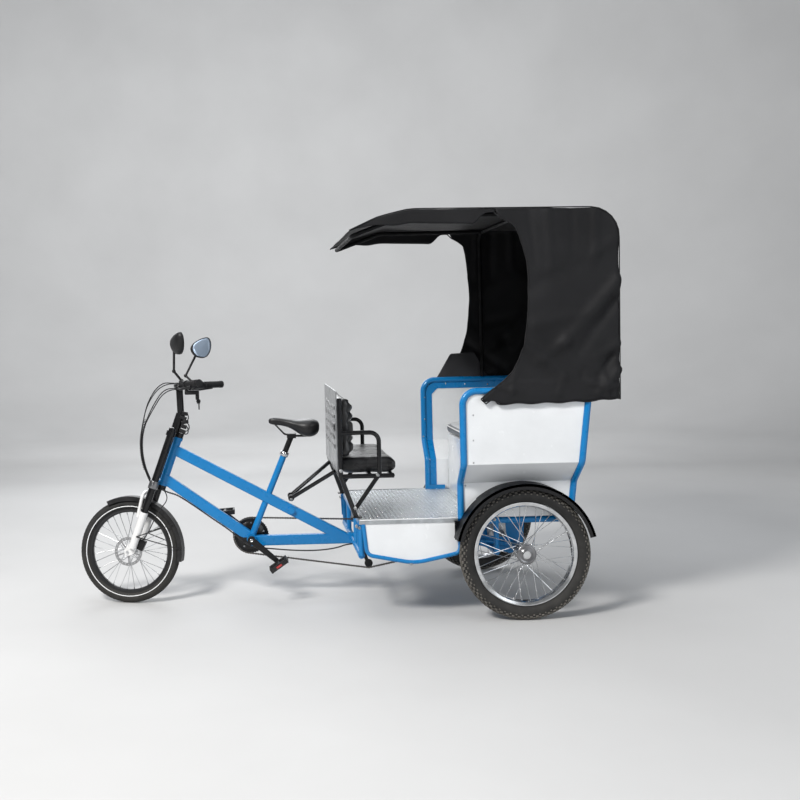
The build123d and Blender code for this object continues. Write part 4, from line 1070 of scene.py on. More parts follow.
@dataclass
class Fasteners(Fixture):
    """Rivets and bolts set by a short table."""

    rivet_radius: float = 4.2
    bolt_radius: float = 5.5

    def head(self, kind: Head) -> Piece:
        """Make one head, standing up along Z from its seat."""
        if kind is Head.RIVET:
            r = self.rivet_radius
            return lathe("rivet_head", [(r, -0.3), (r, 0.6), (r * 0.8, 1.6), (r * 0.42, 2.3), (0.0, 2.5)], 12)
        r = self.bolt_radius
        if kind is Head.SOCKET:
            return lathe("socket_head", [(r, -0.3), (r, 4.4), (r * 0.86, 5.2), (r * 0.5, 5.2), (r * 0.5, 2.4),
                                         (0.0, 2.4)], 16)
        washer = lathe("bolt_washer", [(r * 1.5, -0.3), (r * 1.5, 1.2), (r, 1.3)], 16)
        nut = lathe("bolt_nut", [(r, 1.0), (r, 4.6), (r * 0.82, 5.4)], 6)
        stud = lathe("bolt_stud", [(r * 0.5, 5.0), (r * 0.5, 7.4), (r * 0.3, 8.0)], 10)
        set_smooth(nut.data, False)
        return join_pieces("bolt_head", [washer, nut, stud])

    def seats(self, nodes: Sequence[str], spots: Points, way: Sequence[float]) -> list[tuple[Vector, Vector]]:
        """Find where heads sit on the nodes.

        Args:
            nodes: Names of the CAD nodes that may carry a head.
            spots: Start points in metres.
            way: Direction from the start points towards the nodes.

        Returns:
            Seat point and outward direction of each spot that meets a node.
        """
        found = []
        for spot in spots:
            casts = [frame["nodes"][node].ray_cast(spot, Vector(way).normalized()) for node in nodes]
            hits = [(point, normal) for hit, point, normal, _ in casts if hit]
            if not hits:
                log.info("no seat for a head at %s", spot)
                continue
            point, normal = min(hits, key=lambda hit: (hit[0] - spot).length)
            found.append((point, normal if normal.dot(Vector(way)) < 0 else -normal))
        return found

    def build(self, name: str, kind: Head, finish: Finish, seats: Sequence[tuple[Vector, Vector]]) -> None:
        """Set heads on their seats.

        Args:
            name: Name of the piece.
            kind: Kind of head.
            finish: Finish of the heads.
            seats: Seat point and outward direction of each head.
        """
        turns = [way.to_track_quat("Z", "Y").to_euler() for _, way in seats]
        host = points_host(name, [spot for spot, _ in seats], turns)
        self.settle(Trees.points.run(host, finish, self.head(kind)))


@dataclass
class WireWheelDress(Fixture):
    """Tyre with its tread, and the spoke nipples of one wheel; sizes in millimetres."""

    name: str = "front"
    tyre_node: str = "front_tyre"
    centre: Vector = None
    axle: Vector = None
    outer: float = 253.0
    width: float = 48.0
    bead: float = 205.0
    rim_inner: float = 189.0
    spokes: int = 32
    knobs: int = 84
    knobby: bool = False

    def _outline(self) -> list[tuple[float, float]]:
        """Rounded section of the tyre as (radius, height), bead to bead."""
        half = self.width / 2
        depth = self.outer - self.bead - (5.5 if self.knobby else 1.6)
        # Columns: share of the depth, share of the half width
        shape = ((0.0, 0.58), (0.06, 0.64), (0.16, 0.74), (0.3, 0.9), (0.44, 0.985), (0.56, 1.0), (0.68, 0.965),
                 (0.8, 0.86), (0.9, 0.68), (0.965, 0.44), (1.0, 0.0))
        side = [(self.bead + depth * rise, half * 0.99 * spread) for rise, spread in shape]
        other = [(radius, -across) for radius, across in reversed(side[:-1])]
        inside = [(self.bead + 3, -half * 0.5), (self.bead + 3, half * 0.5)]
        return side + other + inside + side[:1]

    def _tread(self) -> list[Piece]:
        """Rows of tread blocks: one on the crown, and one of each flank row on each side."""
        # Columns: offset across, drop below the crown, tilt, length, width, phase
        if self.knobby:
            # Knobby blocks take the paler tread rubber: road dust and painted sunlight
            finish, depth, bevel, crown = TREAD_DUSTY_PAINTED_LIT, 6.2, 1.0, (14.0, 15.0)
            flanks = ((12.0, 1.4, 16.0, 12.0, 8.0, 0.5), (22.0, 5.4, 38.0, 12.0, 9.5, 0.0),
                      (29.6, 12.6, 60.0, 12.0, 7.5, 0.5), (33.0, 21.0, 76.0, 7.0, 5.0, 0.0))
        else:
            finish, depth, bevel, crown = TYRE, 2.2, 0.5, (14.0, 6.0)
            flanks = ((7.4, 0.9, 14.0, 9.0, 5.4, 0.5), (14.4, 4.2, 36.0, 8.0, 5.4, 0.0))
        rows = [(0.0, 0.0, 0.0, *crown, 0.0)]
        rows += [(side * across, drop, side * tilt, *rest) for across, drop, tilt, *rest in flanks for side in (1, -1)]
        made = []
        for number, (across, drop, tilt, length, wide, phase) in enumerate(rows):
            stamp = set_down(block("tread_block", (depth, length, wide), bevel), Vector(), about("Y", -tilt))
            made.append(round_axle(f"{self.name}_tread_{number}", finish, stamp, self.knobs,
                                   self.outer - drop - depth / 2, across, phase))
        return made

    def _stripe(self) -> list[Piece]:
        """Pale reflective stripe on each sidewall of the front tyre."""
        low, high = self.outer - 35.6, self.outer - 31.6
        bulge = self.width / 2 * 0.985 + 0.5
        section = ((low, -0.9), (low, 0.15), (high, 0.35), (high, -0.9), (low, -0.9))
        return [STRIPE.dress(lathe(f"{self.name}_stripe_{side}", [(radius, side * (bulge + out))
                                                                  for radius, out in section], 128))
                for side in (-1, 1)]

    def build(self) -> None:
        """Build the tyre and the nipples and set them on the wheel."""
        turn = pointing(self.axle, "X")
        layers = [TYRE.dress(lathe(f"{self.name}_carcass", self._outline(), 128)), *self._tread()]
        if not self.knobby:
            layers += self._stripe()
        tyre = join_pieces(f"{self.name}_tyre_dressed", layers)
        self.settle(set_down(tyre, self.centre, turn), slot="tyre", stands_for=self.tyre_node)
        stamp = lathe("nipple", [(2.4, 0.0), (2.4, 4.0), (1.9, 11.0), (0.0, 11.0)], 8)
        nipples = round_axle(f"{self.name}_nipples", ZINC, set_down(stamp, Vector(), about("Y", -90)), self.spokes,
                             self.rim_inner, phase=0.5)
        self.settle(set_down(nipples, self.centre, turn))


@dataclass
class Chain(Fixture):
    """Roller chain of inner and outer links round the chainring, the tensioner and the axle sprocket."""

    pitch: float = 12.7
    y: float = -54.0
    # Columns: x, z, pitch radius, in the order that the chain meets them
    wheels: Triples = ((0.0, REAR_Z, 44.62), (648.0, 148.0, 22.54), (CRANK_X, CRANK_Z, 89.02))

    def _loop(self) -> list[Vector]:
        """Points of the chain's pitch line."""
        normals = []
        for (x_a, z_a, r_a), (x_b, z_b, r_b) in zip(self.wheels, (*self.wheels[1:], self.wheels[0])):
            span = hypot(x_b - x_a, z_b - z_a)
            normals.append(atan2(z_b - z_a, x_b - x_a) - pi / 2
                           - atan2(r_b - r_a, (span ** 2 - (r_b - r_a) ** 2) ** 0.5))
        spots = []
        for index, (x, z, radius) in enumerate(self.wheels):
            start = normals[index - 1]
            sweep = (normals[index] - start) % (2 * pi)
            steps = max(2, round(sweep / 0.12))
            for step in range(steps + 1):
                angle = start + sweep * step / steps
                spots.append(place(x + radius * cos(angle), self.y, z + radius * sin(angle)))
        return spots

    def _link(self, gap: float) -> Piece:
        """One link along X: two waisted plates, each a gap from the middle, and the rollers at its ends."""
        steps = 8
        outline = []
        for end in (1, -1):
            for step in range(steps + 1):
                angle = pi * step / steps - end * pi / 2
                outline.append((end * 0.5 * self.pitch + 4.1 * cos(angle), 4.1 * sin(angle)))
            outline.append((0.0, end * 2.7))
        parts = []
        for side in (-1, 1):
            rings = [[Vector((x, side * gap + level, z)) * MM for x, z in outline] for level in (-0.6, 0.6)]
            parts.append(loft("chain_plate", rings, smooth=False))
        for end in (-1, 1):
            pin = lathe("chain_roller", [(2.4, -gap), (2.4, gap)], 10)
            parts.append(set_down(pin, Vector((end * self.pitch / 2 * MM, 0, 0)), about("X", 90)))
        return join_pieces("chain_link", parts)

    def build(self) -> None:
        """Set the links round the loop, inner and outer in turn."""
        loop = self._loop()
        length = sum((loop[i - 1] - spot).length for i, spot in enumerate(loop))
        count = 2 * round(length / (self.pitch * MM) / 2)
        layers = []
        for start, gap in enumerate((2.6, 3.9)):
            mesh = bpy.data.meshes.new(f"chain_links_{start}")
            mesh.from_pydata([tuple(spot) for spot in loop], [(i, (i + 1) % len(loop)) for i in range(len(loop))], [])
            layers.append(Trees.route.run(add_object(mesh.name, mesh), CHAIN_STEEL, self._link(gap),
                                          spacing=length / count * 1.00001, every=2, start=start))
        self.settle(join_pieces("chain_links", layers), slot="steel", stands_for="chain")


@dataclass
class CheckerFloor(Fixture):
    """Raised lozenges of the rolled plate."""

    pitch: float = 19.0

    def build(self) -> None:
        """Cover the visible floor with lozenges."""
        _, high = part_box("floor_plate")
        front_end = (high.x - REAR_HUB.x) / MM - 8
        fields = []
        # Columns: rear end, front end, half width
        for rear, front, half in ((170.0, 268.0, 424.0), (268.0, front_end, 441.0)):
            length, width = front - rear - self.pitch, 2 * half - self.pitch
            lozenge = lathe("lozenge", [(1.0, 0.0), (0.72, 0.75), (0.3, 1.0), (0.0, 1.0)], 12)
            lozenge.data.transform(Matrix.Diagonal((12.0, 3.4, 1.8, 1.0)))
            field = Trees.plate.run(mesh_piece("floor_lozenges", [Vector()], []), LOZENGE, lozenge,
                                    length=length * MM, width=width * MM, rows=round(length / self.pitch) + 1,
                                    columns=round(width / self.pitch) + 1)
            fields.append(set_down(field, place((rear + front) / 2, 0, high.z / MM - 0.1)))
        self.settle(join_pieces("floor_lozenges", fields), slot="checker")


# Soft goods


def puff_up(piece: Piece, voxel: float, pressure: float, cap: float) -> Piece:
    """Swell a closed form as its stuffing would, by cloth simulation.

    Args:
        piece: Closed mesh at the origin.
        voxel: Size of the even mesh that is simulated, in metres.
        pressure: Pressure of the stuffing.
        cap: Furthest that a point may move, in metres.

    Returns:
        The piece with the simulated shape applied.
    """
    even = piece.modifiers.new("even_mesh", "REMESH")
    even.mode = "VOXEL"
    even.voxel_size = voxel
    bake(piece)
    before = [vertex.co.copy() for vertex in piece.data.vertices]
    cloth = piece.modifiers.new("stuffing", "CLOTH")
    cloth.settings.quality = 4
    cloth.settings.use_pressure = True
    cloth.settings.uniform_pressure_force = pressure
    cloth.settings.effector_weights.gravity = 0.0
    cloth.collision_settings.use_collision = False
    cloth.point_cache.frame_start = 1
    cloth.point_cache.frame_end = 20
    for number in range(1, 21):
        bpy.context.scene.frame_set(number)
    bake(piece)
    bpy.context.scene.frame_set(1)
    for vertex, start in zip(piece.data.vertices, before):
        shift = vertex.co - start
        if shift.length > cap:
            vertex.co = start + shift.normalized() * cap
    set_smooth(piece.data)
    return piece


def ridge(distance: float, width: float) -> float:
    """Height of a soft ridge at a distance from its line, 1 on the line and near 0 a width away."""
    return exp(-(distance / width) ** 2)


def line_distance(x: float, z: float, start: tuple[float, float], stop: tuple[float, float]) -> tuple[float, float]:
    """Distance of a point from a stretch of line, and how far along it the point lies from 0 to 1."""
    run = (stop[0] - start[0], stop[1] - start[1])
    size = run[0] ** 2 + run[1] ** 2
    share = max(0.0, min(1.0, ((x - start[0]) * run[0] + (z - start[1]) * run[1]) / size))
    near = (start[0] + run[0] * share, start[1] + run[1] * share)
    return hypot(x - near[0], z - near[1]), share


@dataclass
class Hood(Fixture):
    """Canvas hood: one sheet for roof, visor and sides, with bound edges and a loose inner flap."""

    half_width: float = 556.0
    spacing: float = 23.0
    # Thickness in metres
    cloth: float = 2.2 * MM
    roof: Pairs = ((767.0, 1764.0), (639.3, 1822.0), (499.3, 1855.0), (-443.0, 1846.0), (-429.0, 984.0))
    radii: tuple[float, ...] = (200.0, 260.0, 128.0)
    # Front edge of the side, from the hem up to where it meets the roof
    front_edge: Pairs = ((196.0, 1000.0), (139.0, 1046.0), (92.0, 1079.0), (52.0, 1118.0), (22.0, 1170.0),
                         (0.0, 1230.0), (-15.0, 1300.0), (-24.0, 1380.0), (-29.0, 1460.0), (-29.0, 1540.0),
                         (-23.0, 1610.0), (-9.0, 1668.0), (8.0, 1725.0), (26.0, 1768.0), (60.0, 1791.0), (98.0, 1811.0),
                         (120.0, 1833.0))
    # How far the far side's front edge stands ahead of the near side's
    far_lead: float = 46.0
    hem: Pairs = ((196.0, 1000.0), (174.0, 976.0), (141.0, 998.0), (119.0, 976.0), (25.0, 977.0), (-60.0, 977.0),
                  (-220.0, 979.0), (-340.0, 982.0), (-429.0, 984.0))
    # Lower edge of the visor's side: x and depth below the roof
    valance: Pairs = ((120.0, 21.0), (164.0, 21.0), (186.0, 46.0), (203.0, 73.0), (240.0, 70.0), (400.0, 67.0),
                      (560.0, 62.0), (640.0, 35.0), (720.0, 12.0), (770.0, 0.5))
    # Columns: start and end of the fold as (x, z), width, height; all in millimetres
    folds: tuple[tuple[tuple[float, float], tuple[float, float], float, float], ...] = (
        ((-436.0, 1520.0), (-190.0, 1250.0), 34.0, 12.0), ((-420.0, 1430.0), (-250.0, 1200.0), 26.0, -9.0),
        ((-190.0, 1250.0), (-60.0, 1160.0), 30.0, 8.0), ((-430.0, 1120.0), (-330.0, 1010.0), 20.0, 13.0),
        ((-400.0, 1180.0), (-330.0, 1080.0), 16.0, -10.0), ((-430.0, 1040.0), (-300.0, 1060.0), 15.0, 10.0),
        ((-380.0, 1000.0), (-352.0, 1110.0), 13.0, 10.0), ((-340.0, 1840.0), (-330.0, 1600.0), 24.0, 6.0),
        ((-230.0, 1840.0), (-235.0, 1640.0), 20.0, -5.0), ((-120.0, 1840.0), (-132.0, 1580.0), 22.0, 5.0),
        ((-40.0, 1835.0), (-60.0, 1600.0), 18.0, -4.5), ((0.0, 1240.0), (-180.0, 1090.0), 26.0, 8.0),
        ((130.0, 1050.0), (-60.0, 1015.0), 18.0, 7.0), ((-150.0, 1010.0), (-180.0, 1100.0), 17.0, 6.0),
        ((-250.0, 1005.0), (-262.0, 1120.0), 15.0, -6.0), ((-420.0, 1700.0), (-300.0, 1620.0), 30.0, 6.0),
        ((60.0, 1010.0), (40.0, 1120.0), 15.0, 6.0), ((-60.0, 1330.0), (-330.0, 1380.0), 34.0, 6.0),
        ((-20.0, 1480.0), (-260.0, 1600.0), 40.0, -6.0), ((-440.0, 1240.0), (-330.0, 1180.0), 22.0, 8.0),
    )

    def _depth_at(self, x: float) -> float:
        """Depth of the visor's side below the roof at a place along it."""
        for here, there in zip(self.valance, self.valance[1:]):
            if here[0] <= x <= there[0]:
                return here[1] + (there[1] - here[1]) * (x - here[0]) / (there[0] - here[0])
        return self.valance[0][1] if x < self.valance[0][0] else self.valance[-1][1]

    def _patch(self, top: Pairs, rear: Pairs) -> list[Pairs]:
        """Points of the side between its four edges, row by row from the roof down.

        Args:
            top: Roof line from the front edge to the rear corner.
            rear: Roof line from the rear corner down to the hem.

        Returns:
            Rows of points, each from the front edge to the rear.
        """
        rows, columns = len(rear), len(top)
        front = even_points(list(reversed(self.front_edge)), rows)
        front[0] = top[0]
        hem = even_points(self.hem, columns)
        hem[-1] = rear[-1]
        patch = []
        for row in range(rows):
            down = row / (rows - 1)
            line = []
            for column in range(columns):
                back = column / (columns - 1)
                line.append(tuple((1 - down) * top[column][axis] + down * hem[column][axis]
                                  + (1 - back) * (front[row][axis] - (1 - down) * top[0][axis] - down * hem[0][axis])
                                  + back * (rear[row][axis] - (1 - down) * top[-1][axis] - down * hem[-1][axis])
                                  for axis in (0, 1)))
            patch.append(line)
        return patch

    def _sheet(self) -> tuple[Piece, Pairs]:
        """Build the bare sheet and return it with the roof's line."""
        path = fillet_path(self.roof, self.radii, self.spacing)
        across = 2 * round(self.half_width / self.spacing / 1.1)
        vertices = [place(x, self.half_width * (2 * column / across - 1), z) for x, z in path
                    for column in range(across + 1)]
        faces = grid_faces(len(path), across + 1)
        meet = min(range(len(path)), key=lambda i: abs(path[i][0] - 120.0) + (1000 if path[i][1] < 1700 else 0))
        corner = min(range(meet, len(path)), key=lambda i: hypot(path[i][0] + 405.0, path[i][1] - 1808.0))
        strip = [[(x, z - self._depth_at(x) * row / 3) for x, z in path[:meet + 1]] for row in range(4)]
        for side in (-1, 1):
            for patch in (self._patch(path[meet:corner + 1], path[corner:]), strip):
                faces += grid_faces(len(patch), len(patch[0]), base=len(vertices))
                vertices += [place(x, side * self.half_width, z) for line in patch for x, z in line]
        return close_up(mesh_piece("hood_sheet", vertices, faces), 4e-4), path

    def _crumple(self, spot: Vector, normal: Vector) -> Vector:
        """Where a point of the sheet goes once the cloth has sagged and folded."""
        x, y, z = (spot.x - REAR_HUB.x) / MM, spot.y / MM, spot.z / MM
        on_side = abs(normal.y)
        shift = 0.0
        for start, stop, width, height in self.folds:
            distance, share = line_distance(x, z, start, stop)
            shift += 1.7 * height * ridge(distance, width * 0.85) * (1.0 - 0.5 * share) * on_side
        broad = noise.noise(spot * 3.1 + Vector((4.0, 1.0 if y > 0 else 7.0, 2.0)))
        fine = noise.noise(spot * 9.0 + Vector((1.0, 3.0 if y > 0 else 8.0, 5.0)))
        shift = max(-14.0, min(21.0, shift)) + 5.0 * broad + 1.6 * fine
        edge = max(0.0, 1.0 - abs(y) / self.half_width)
        held = min(abs(x - rib) for rib in (-404.0, -52.0, 500.0, 742.0))
        sag = -9.0 * min(1.0, held / 150.0) * min(1.0, edge * 3.0) * abs(normal.z)
        moved = spot + normal * ((shift + sag) * MM)
        if on_side > 0.5:
            lead = self.far_lead if y < 0 else 0.0
            fade = max(0.0, min(1.0, (1800.0 - z) / 200.0)) * max(0.0, min(1.0, (x + 250.0) / 300.0))
            moved.x += lead * fade * (x < 300.0) * MM
            moved.z += 3.0 * sin(x * 0.05) * ridge(z - 985.0, 30.0) * MM
            pinch = max(0.0, 1.0 - hypot((x + 435.0) / 120.0, (z - 975.0) / 110.0))
            moved.x += 20.0 * pinch * MM
            moved.z += 7.0 * pinch * MM
            if z < 1075.0:
                clear = (self.half_width + 2.5) * MM
                moved.y = max(moved.y, clear) if y > 0 else min(moved.y, -clear)
        return moved

    def _flap(self) -> None:
        """Loose corner of the far side that is folded back on the inside, in paler canvas that is painted light on the
        sunlit fold.
        """
        low_front, top_front, top_rear, low_rear = (
            Vector(corner) for corner in ((196.0, 1004.0), (92.0, 1176.0), (-40.0, 1182.0), (-140.0, 1004.0)))
        rows, columns = 9, 13
        vertices = []
        for row in range(rows):
            rise = row / (rows - 1)
            for column in range(columns):
                along = column / (columns - 1)
                x, z = low_front.lerp(low_rear, along).lerp(top_front.lerp(top_rear, along), rise)
                bulge = 9.0 * sin(pi * along) * sin(pi * rise) + 3.0 * sin(along * 9.0 + rise * 4.0)
                vertices.append(place(x + self.far_lead * 0.6, -self.half_width + 14.0 + bulge, z))
        flap = mesh_piece("hood_flap", vertices, grid_faces(rows, columns))
        self.settle(thicken(subdivide(flap), 1.6 * MM, -1.0), CANVAS_PAINTED_LIT, slot="canvas")

    def build(self) -> None:
        """Build the sheet, fold it, give it its thickness and bind its edges."""
        sheet, path = self._sheet()
        subdivide(sheet)
        middle = Vector((place(160, 0, 0).x, 0.0, 1.35))
        outward = [vertex.normal * (-1 if vertex.normal.dot(vertex.co - middle) < 0 else 1)
                   for vertex in sheet.data.vertices]
        for vertex, normal in zip(sheet.data.vertices, outward):
            vertex.co = self._crumple(vertex.co.copy(), normal)
        thicken(sheet, self.cloth, 0.0)
        bindings = []
        for side in (-1, 1):
            for label, line, radius in (("roof_edge", path, 2.6), ("front_edge", self.front_edge, 3.0),
                                        ("hem", self.hem, 3.0)):
                points = [place(x, side * (self.half_width + 0.5), z) for x, z in even_points(line, 60)]
                if line is not path:
                    points = [self._crumple(point, Vector((0, side, 0))) for point in points]
                bindings.append(tube(f"hood_{label}_{side}", points, radius, smooth_route=False, sides=6))
        self.settle(sheet, CANVAS, slot="canvas", stands_for="hood_canvas")
        trim = self.settle(join_pieces("hood_bindings", bindings), CANVAS, slot="canvas")
        self._flap()


@dataclass
class Cushion(Fixture):
    """A stuffed cushion with sewn channels and piping."""

    name: str = "cushion"
    node: str = ""
    finish: Finish = None
    low: tuple[float, float, float] = (0.0, 0.0, 0.0)
    high: tuple[float, float, float] = (0.0, 0.0, 0.0)
    lean: float = 0.0
    swell: float = 10.0
    voxel: float = 6.0
    cap: float = 14.0
    fill: float = 0.7
    # Channels: axis across them (0 x, 1 y, 2 z), places, half width and depth
    channel_axis: int = 2
    channels: tuple[float, ...] = ()
    channel_width: float = 7.0
    channel_depth: float = 6.0
    piping: float = 0.0
    piping_finish: Finish = None
    face_finish: Finish = None
    wander: float = 0.0
    slot: str = "vinyl"

    def _form(self) -> Piece:
        """Slim rounded block that the stuffing swells."""
        size = [high - low - self.swell for low, high in zip(self.low, self.high)]
        centre = [(low + high) / 2 for low, high in zip(self.low, self.high)]
        return block(self.name, size, min(size) * 0.3, place(*centre), segments=4, profile=0.5)

    def _shape(self, piece: Piece) -> None:
        """Sew the channels, pull in the sides and lean the piece back."""
        low, high = place(*self.low), place(*self.high)
        middle = (low + high) / 2
        half = (high - low) / 2
        thin = min(range(3), key=lambda axis: half[axis])
        for vertex in piece.data.vertices:
            spot = vertex.co.copy()
            outside = (spot - middle)[thin] / half[thin]
            for channel in self.channels:
                line = (place(channel, 0, 0).x if self.channel_axis == 0 else channel * MM)
                drift = self.wander * sin(spot.y * 9.0 + channel) + self.wander * 0.5 * sin(spot.y * 31.0 + channel)
                pinch = ridge((spot[self.channel_axis] - line) / MM - drift, self.channel_width)
                spot[thin] -= outside * pinch * self.channel_depth * MM
            crease = noise.noise(spot * 11.0 + Vector((2.0, 5.0, 1.0)))
            spot[thin] += outside * crease * 2.2 * MM
            vertex.co = spot
        for vertex in piece.data.vertices:
            rise = (vertex.co.z - low.z) / max(1e-6, high.z - low.z)
            vertex.co.x += self.lean * MM * (rise - 0.5)

    def _edge_piping(self) -> None:
        """Piping round the top edge of the front and the sides."""
        inset = 11.0
        front_x = self.high[0] - inset * 0.35
        points = []
        for x, y in ((self.low[0] + 40, self.low[1] + 5), (front_x - 26, self.low[1] + 5), (front_x, self.low[1] + 30),
                     (front_x, self.high[1] - 30), (front_x - 26, self.high[1] - 5),
                     (self.low[0] + 40, self.high[1] - 5)):
            points.append(place(x, y, self.high[2] - inset))
        self.settle(tube(f"{self.name}_piping", points, self.piping), self.piping_finish)

    def build(self) -> None:
        """Build, stuff, sew and place the cushion."""
        piece = puff_up(self._form(), self.voxel * MM, 4.0, self.cap * MM)
        smooth = piece.modifiers.new("even_out", "CORRECTIVE_SMOOTH")
        smooth.iterations = 4
        smooth.use_only_smooth = True
        bake(piece)
        self._shape(piece)
        self.finish.dress(piece)
        if self.face_finish is not None:
            piece.data.materials.append(self.face_finish.material())
            for polygon in piece.data.polygons:
                polygon.material_index = 1 if polygon.normal.x > 0.7 else 0
        self.settle(piece, slot=self.slot, stands_for=self.node)
        if self.piping > 0:
            self._edge_piping()


@dataclass
class Saddle(Fixture):
    """Padded saddle with its nose, wings and the soft dip between them."""

    def _rings(self) -> list[list[Vector]]:
        """Cross-sections from the rear to the nose."""
        low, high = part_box("saddle")
        rear = low.x + 1.0 * MM
        # Columns: ahead of the rear end, half width, top, bottom, dip in the middle, all in millimetres
        table = ((0.0, 34.0, 68.0, 44.0, 1.0), (5.0, 50.0, 80.0, 24.0, 2.0), (22.0, 72.0, 89.0, 8.0, 3.0),
                 (48.0, 82.0, 93.0, 2.0, 4.0), (78.0, 79.0, 91.0, 6.0, 4.5), (104.0, 66.0, 88.0, 20.0, 4.5),
                 (130.0, 48.0, 89.0, 40.0, 4.0), (158.0, 36.0, 94.0, 54.0, 3.0), (186.0, 29.0, 99.0, 61.0, 2.0),
                 (212.0, 25.0, 102.0, 64.0, 1.0), (234.0, 21.0, 101.0, 67.0, 0.5), (247.0, 15.0, 97.0, 72.0, 0.0),
                 (251.0, 7.0, 91.0, 78.0, 0.0))
        scale_x = (high.x - low.x) / MM / 252.5
        rings = []
        for ahead, half, top, bottom, dip in table:
            ring = []
            for step in range(28):
                angle = 2 * pi * step / 28
                side, up = cos(angle), sin(angle)
                y = half * (abs(side) ** 0.72) * (1 if side >= 0 else -1)
                middle, reach = (top + bottom) / 2, (top - bottom) / 2
                z = middle + reach * (abs(up) ** 0.75) * (1 if up >= 0 else -1)
                if up > 0:
                    z -= dip * ridge(y, half * 0.3)
                ring.append(Vector((rear + ahead * scale_x * MM, y * MM, low.z + z * MM)))
            rings.append(ring)
        return rings

    def build(self) -> None:
        """Loft the sections, close the ends and smooth the skin."""
        piece = subdivide(loft("saddle_cover", self._rings()), 2)
        self.settle(piece, SADDLE_VINYL, slot="vinyl", stands_for="saddle")


@dataclass
class Studio(Fixture):
    """Pale floor, soft lights and the camera at the photograph's place."""

    lens_mm: float = 47.4
    shift: tuple[float, float] = (0.161, -0.0877)
    eye: tuple[float, float, float] = (1215.1, 5227.3, 1329.9)
    forward: tuple[float, float, float] = (-0.0198, -0.9998, 0.0)
    roll: float = 0.023

    def build(self) -> None:
        """Build the floor, the lights and the camera."""
        self._floor()
        # Columns: name, place in metres, aim, width, strength, colour
        lights = (
            ("key_light", (3.6, 4.4, 5.4), (0.0, 0.0, 0.7), 1.5, 520.0, (1.0, 0.98, 0.95)),
            ("fill_light", (-3.8, 4.6, 2.2), (0.0, 0.0, 0.7), 3.6, 70.0, (0.92, 0.96, 1.0)),
            ("top_light", (0.2, -0.4, 5.6), (0.0, 0.0, 0.5), 4.2, 110.0, (0.97, 0.98, 1.0)),
            ("back_light", (1.0, -4.4, 3.0), (0.0, 0.0, 0.9), 3.2, 90.0, (0.96, 0.98, 1.0)),
            ("wall_light", (0.0, -5.0, 4.5), (0.0, -12.0, 3.6), 5.0, 330.0, (0.98, 0.99, 1.0)),
        )
        for name, spot, aim, width, strength, tint in lights:
            self._area_light(name, Vector(spot), Vector(aim), width, strength, tint)
        world = bpy.data.worlds.new("studio_world")
        bpy.context.scene.world = world
        world.use_nodes = True
        world.node_tree.nodes["Background"].inputs["Color"].default_value = (0.86, 0.90, 0.95, 1.0)
        world.node_tree.nodes["Background"].inputs["Strength"].default_value = 0.38
        bpy.context.scene.view_settings.view_transform = "Standard"
        self._camera()

    def _floor(self) -> None:
        """Pale floor that sweeps up all round the vehicle, with the faintest tone change."""
        flat, bend, high, turns = 8.5, 4.0, 13.0, 72
        section = [(flat * 0.6, 0.0), (flat, 0.0)]
        section += [(flat + bend * sin(radians(turn)), bend - bend * cos(radians(turn))) for turn in range(6, 91, 6)]
        section.append((flat + bend, high))
        corners = [Vector((radius * cos(2 * pi * step / turns), -radius * sin(2 * pi * step / turns), z))
                   for radius, z in section for step in range(turns)]
        floor = mesh_piece("studio_floor", corners, grid_faces(len(section), turns, closed=True)
                           + [tuple(reversed(range(turns)))])
        shader = Shader("studio_floor")
        tone = shader.effect(EFFECTS.mottle, Scale=0.8)
        shader.put({"Base Color": shader.mix(tone, (0.55, 0.55, 0.55), (0.59, 0.59, 0.59)), "Roughness": 0.8})
        floor.data.materials.append(shader.material)

    def _area_light(self, name: str, spot: Vector, aim: Vector, width: float, strength: float, tint: Colour) -> None:
        """Add one soft area light aimed at a point."""
        light = bpy.data.lights.new(name, "AREA")
        light.energy, light.size, light.color = strength, width, tint
        holder = add_object(name, light)
        holder.location = spot
        holder.rotation_euler = (aim - spot).to_track_quat("-Z", "Y").to_euler()
        holder.visible_camera = False

    def _camera(self) -> None:
        """Add the camera, rolled as the photograph is."""
        data = bpy.data.cameras.new("photo_camera")
        data.lens = self.lens_mm
        data.sensor_width = 36.0
        data.shift_x, data.shift_y = self.shift
        data.clip_end = 100.0
        ahead = Vector(self.forward).normalized()
        right = ahead.cross(Vector((0, 0, 1))).normalized()
        up = right.cross(ahead) * cos(self.roll) + right * sin(self.roll)
        turn = Matrix((ahead.cross(up), up, -ahead)).transposed().to_4x4()
        camera = add_object("photo_camera", data)
        camera.matrix_world = Matrix.Translation(place(*self.eye)) @ turn
        bpy.context.scene.camera = camera


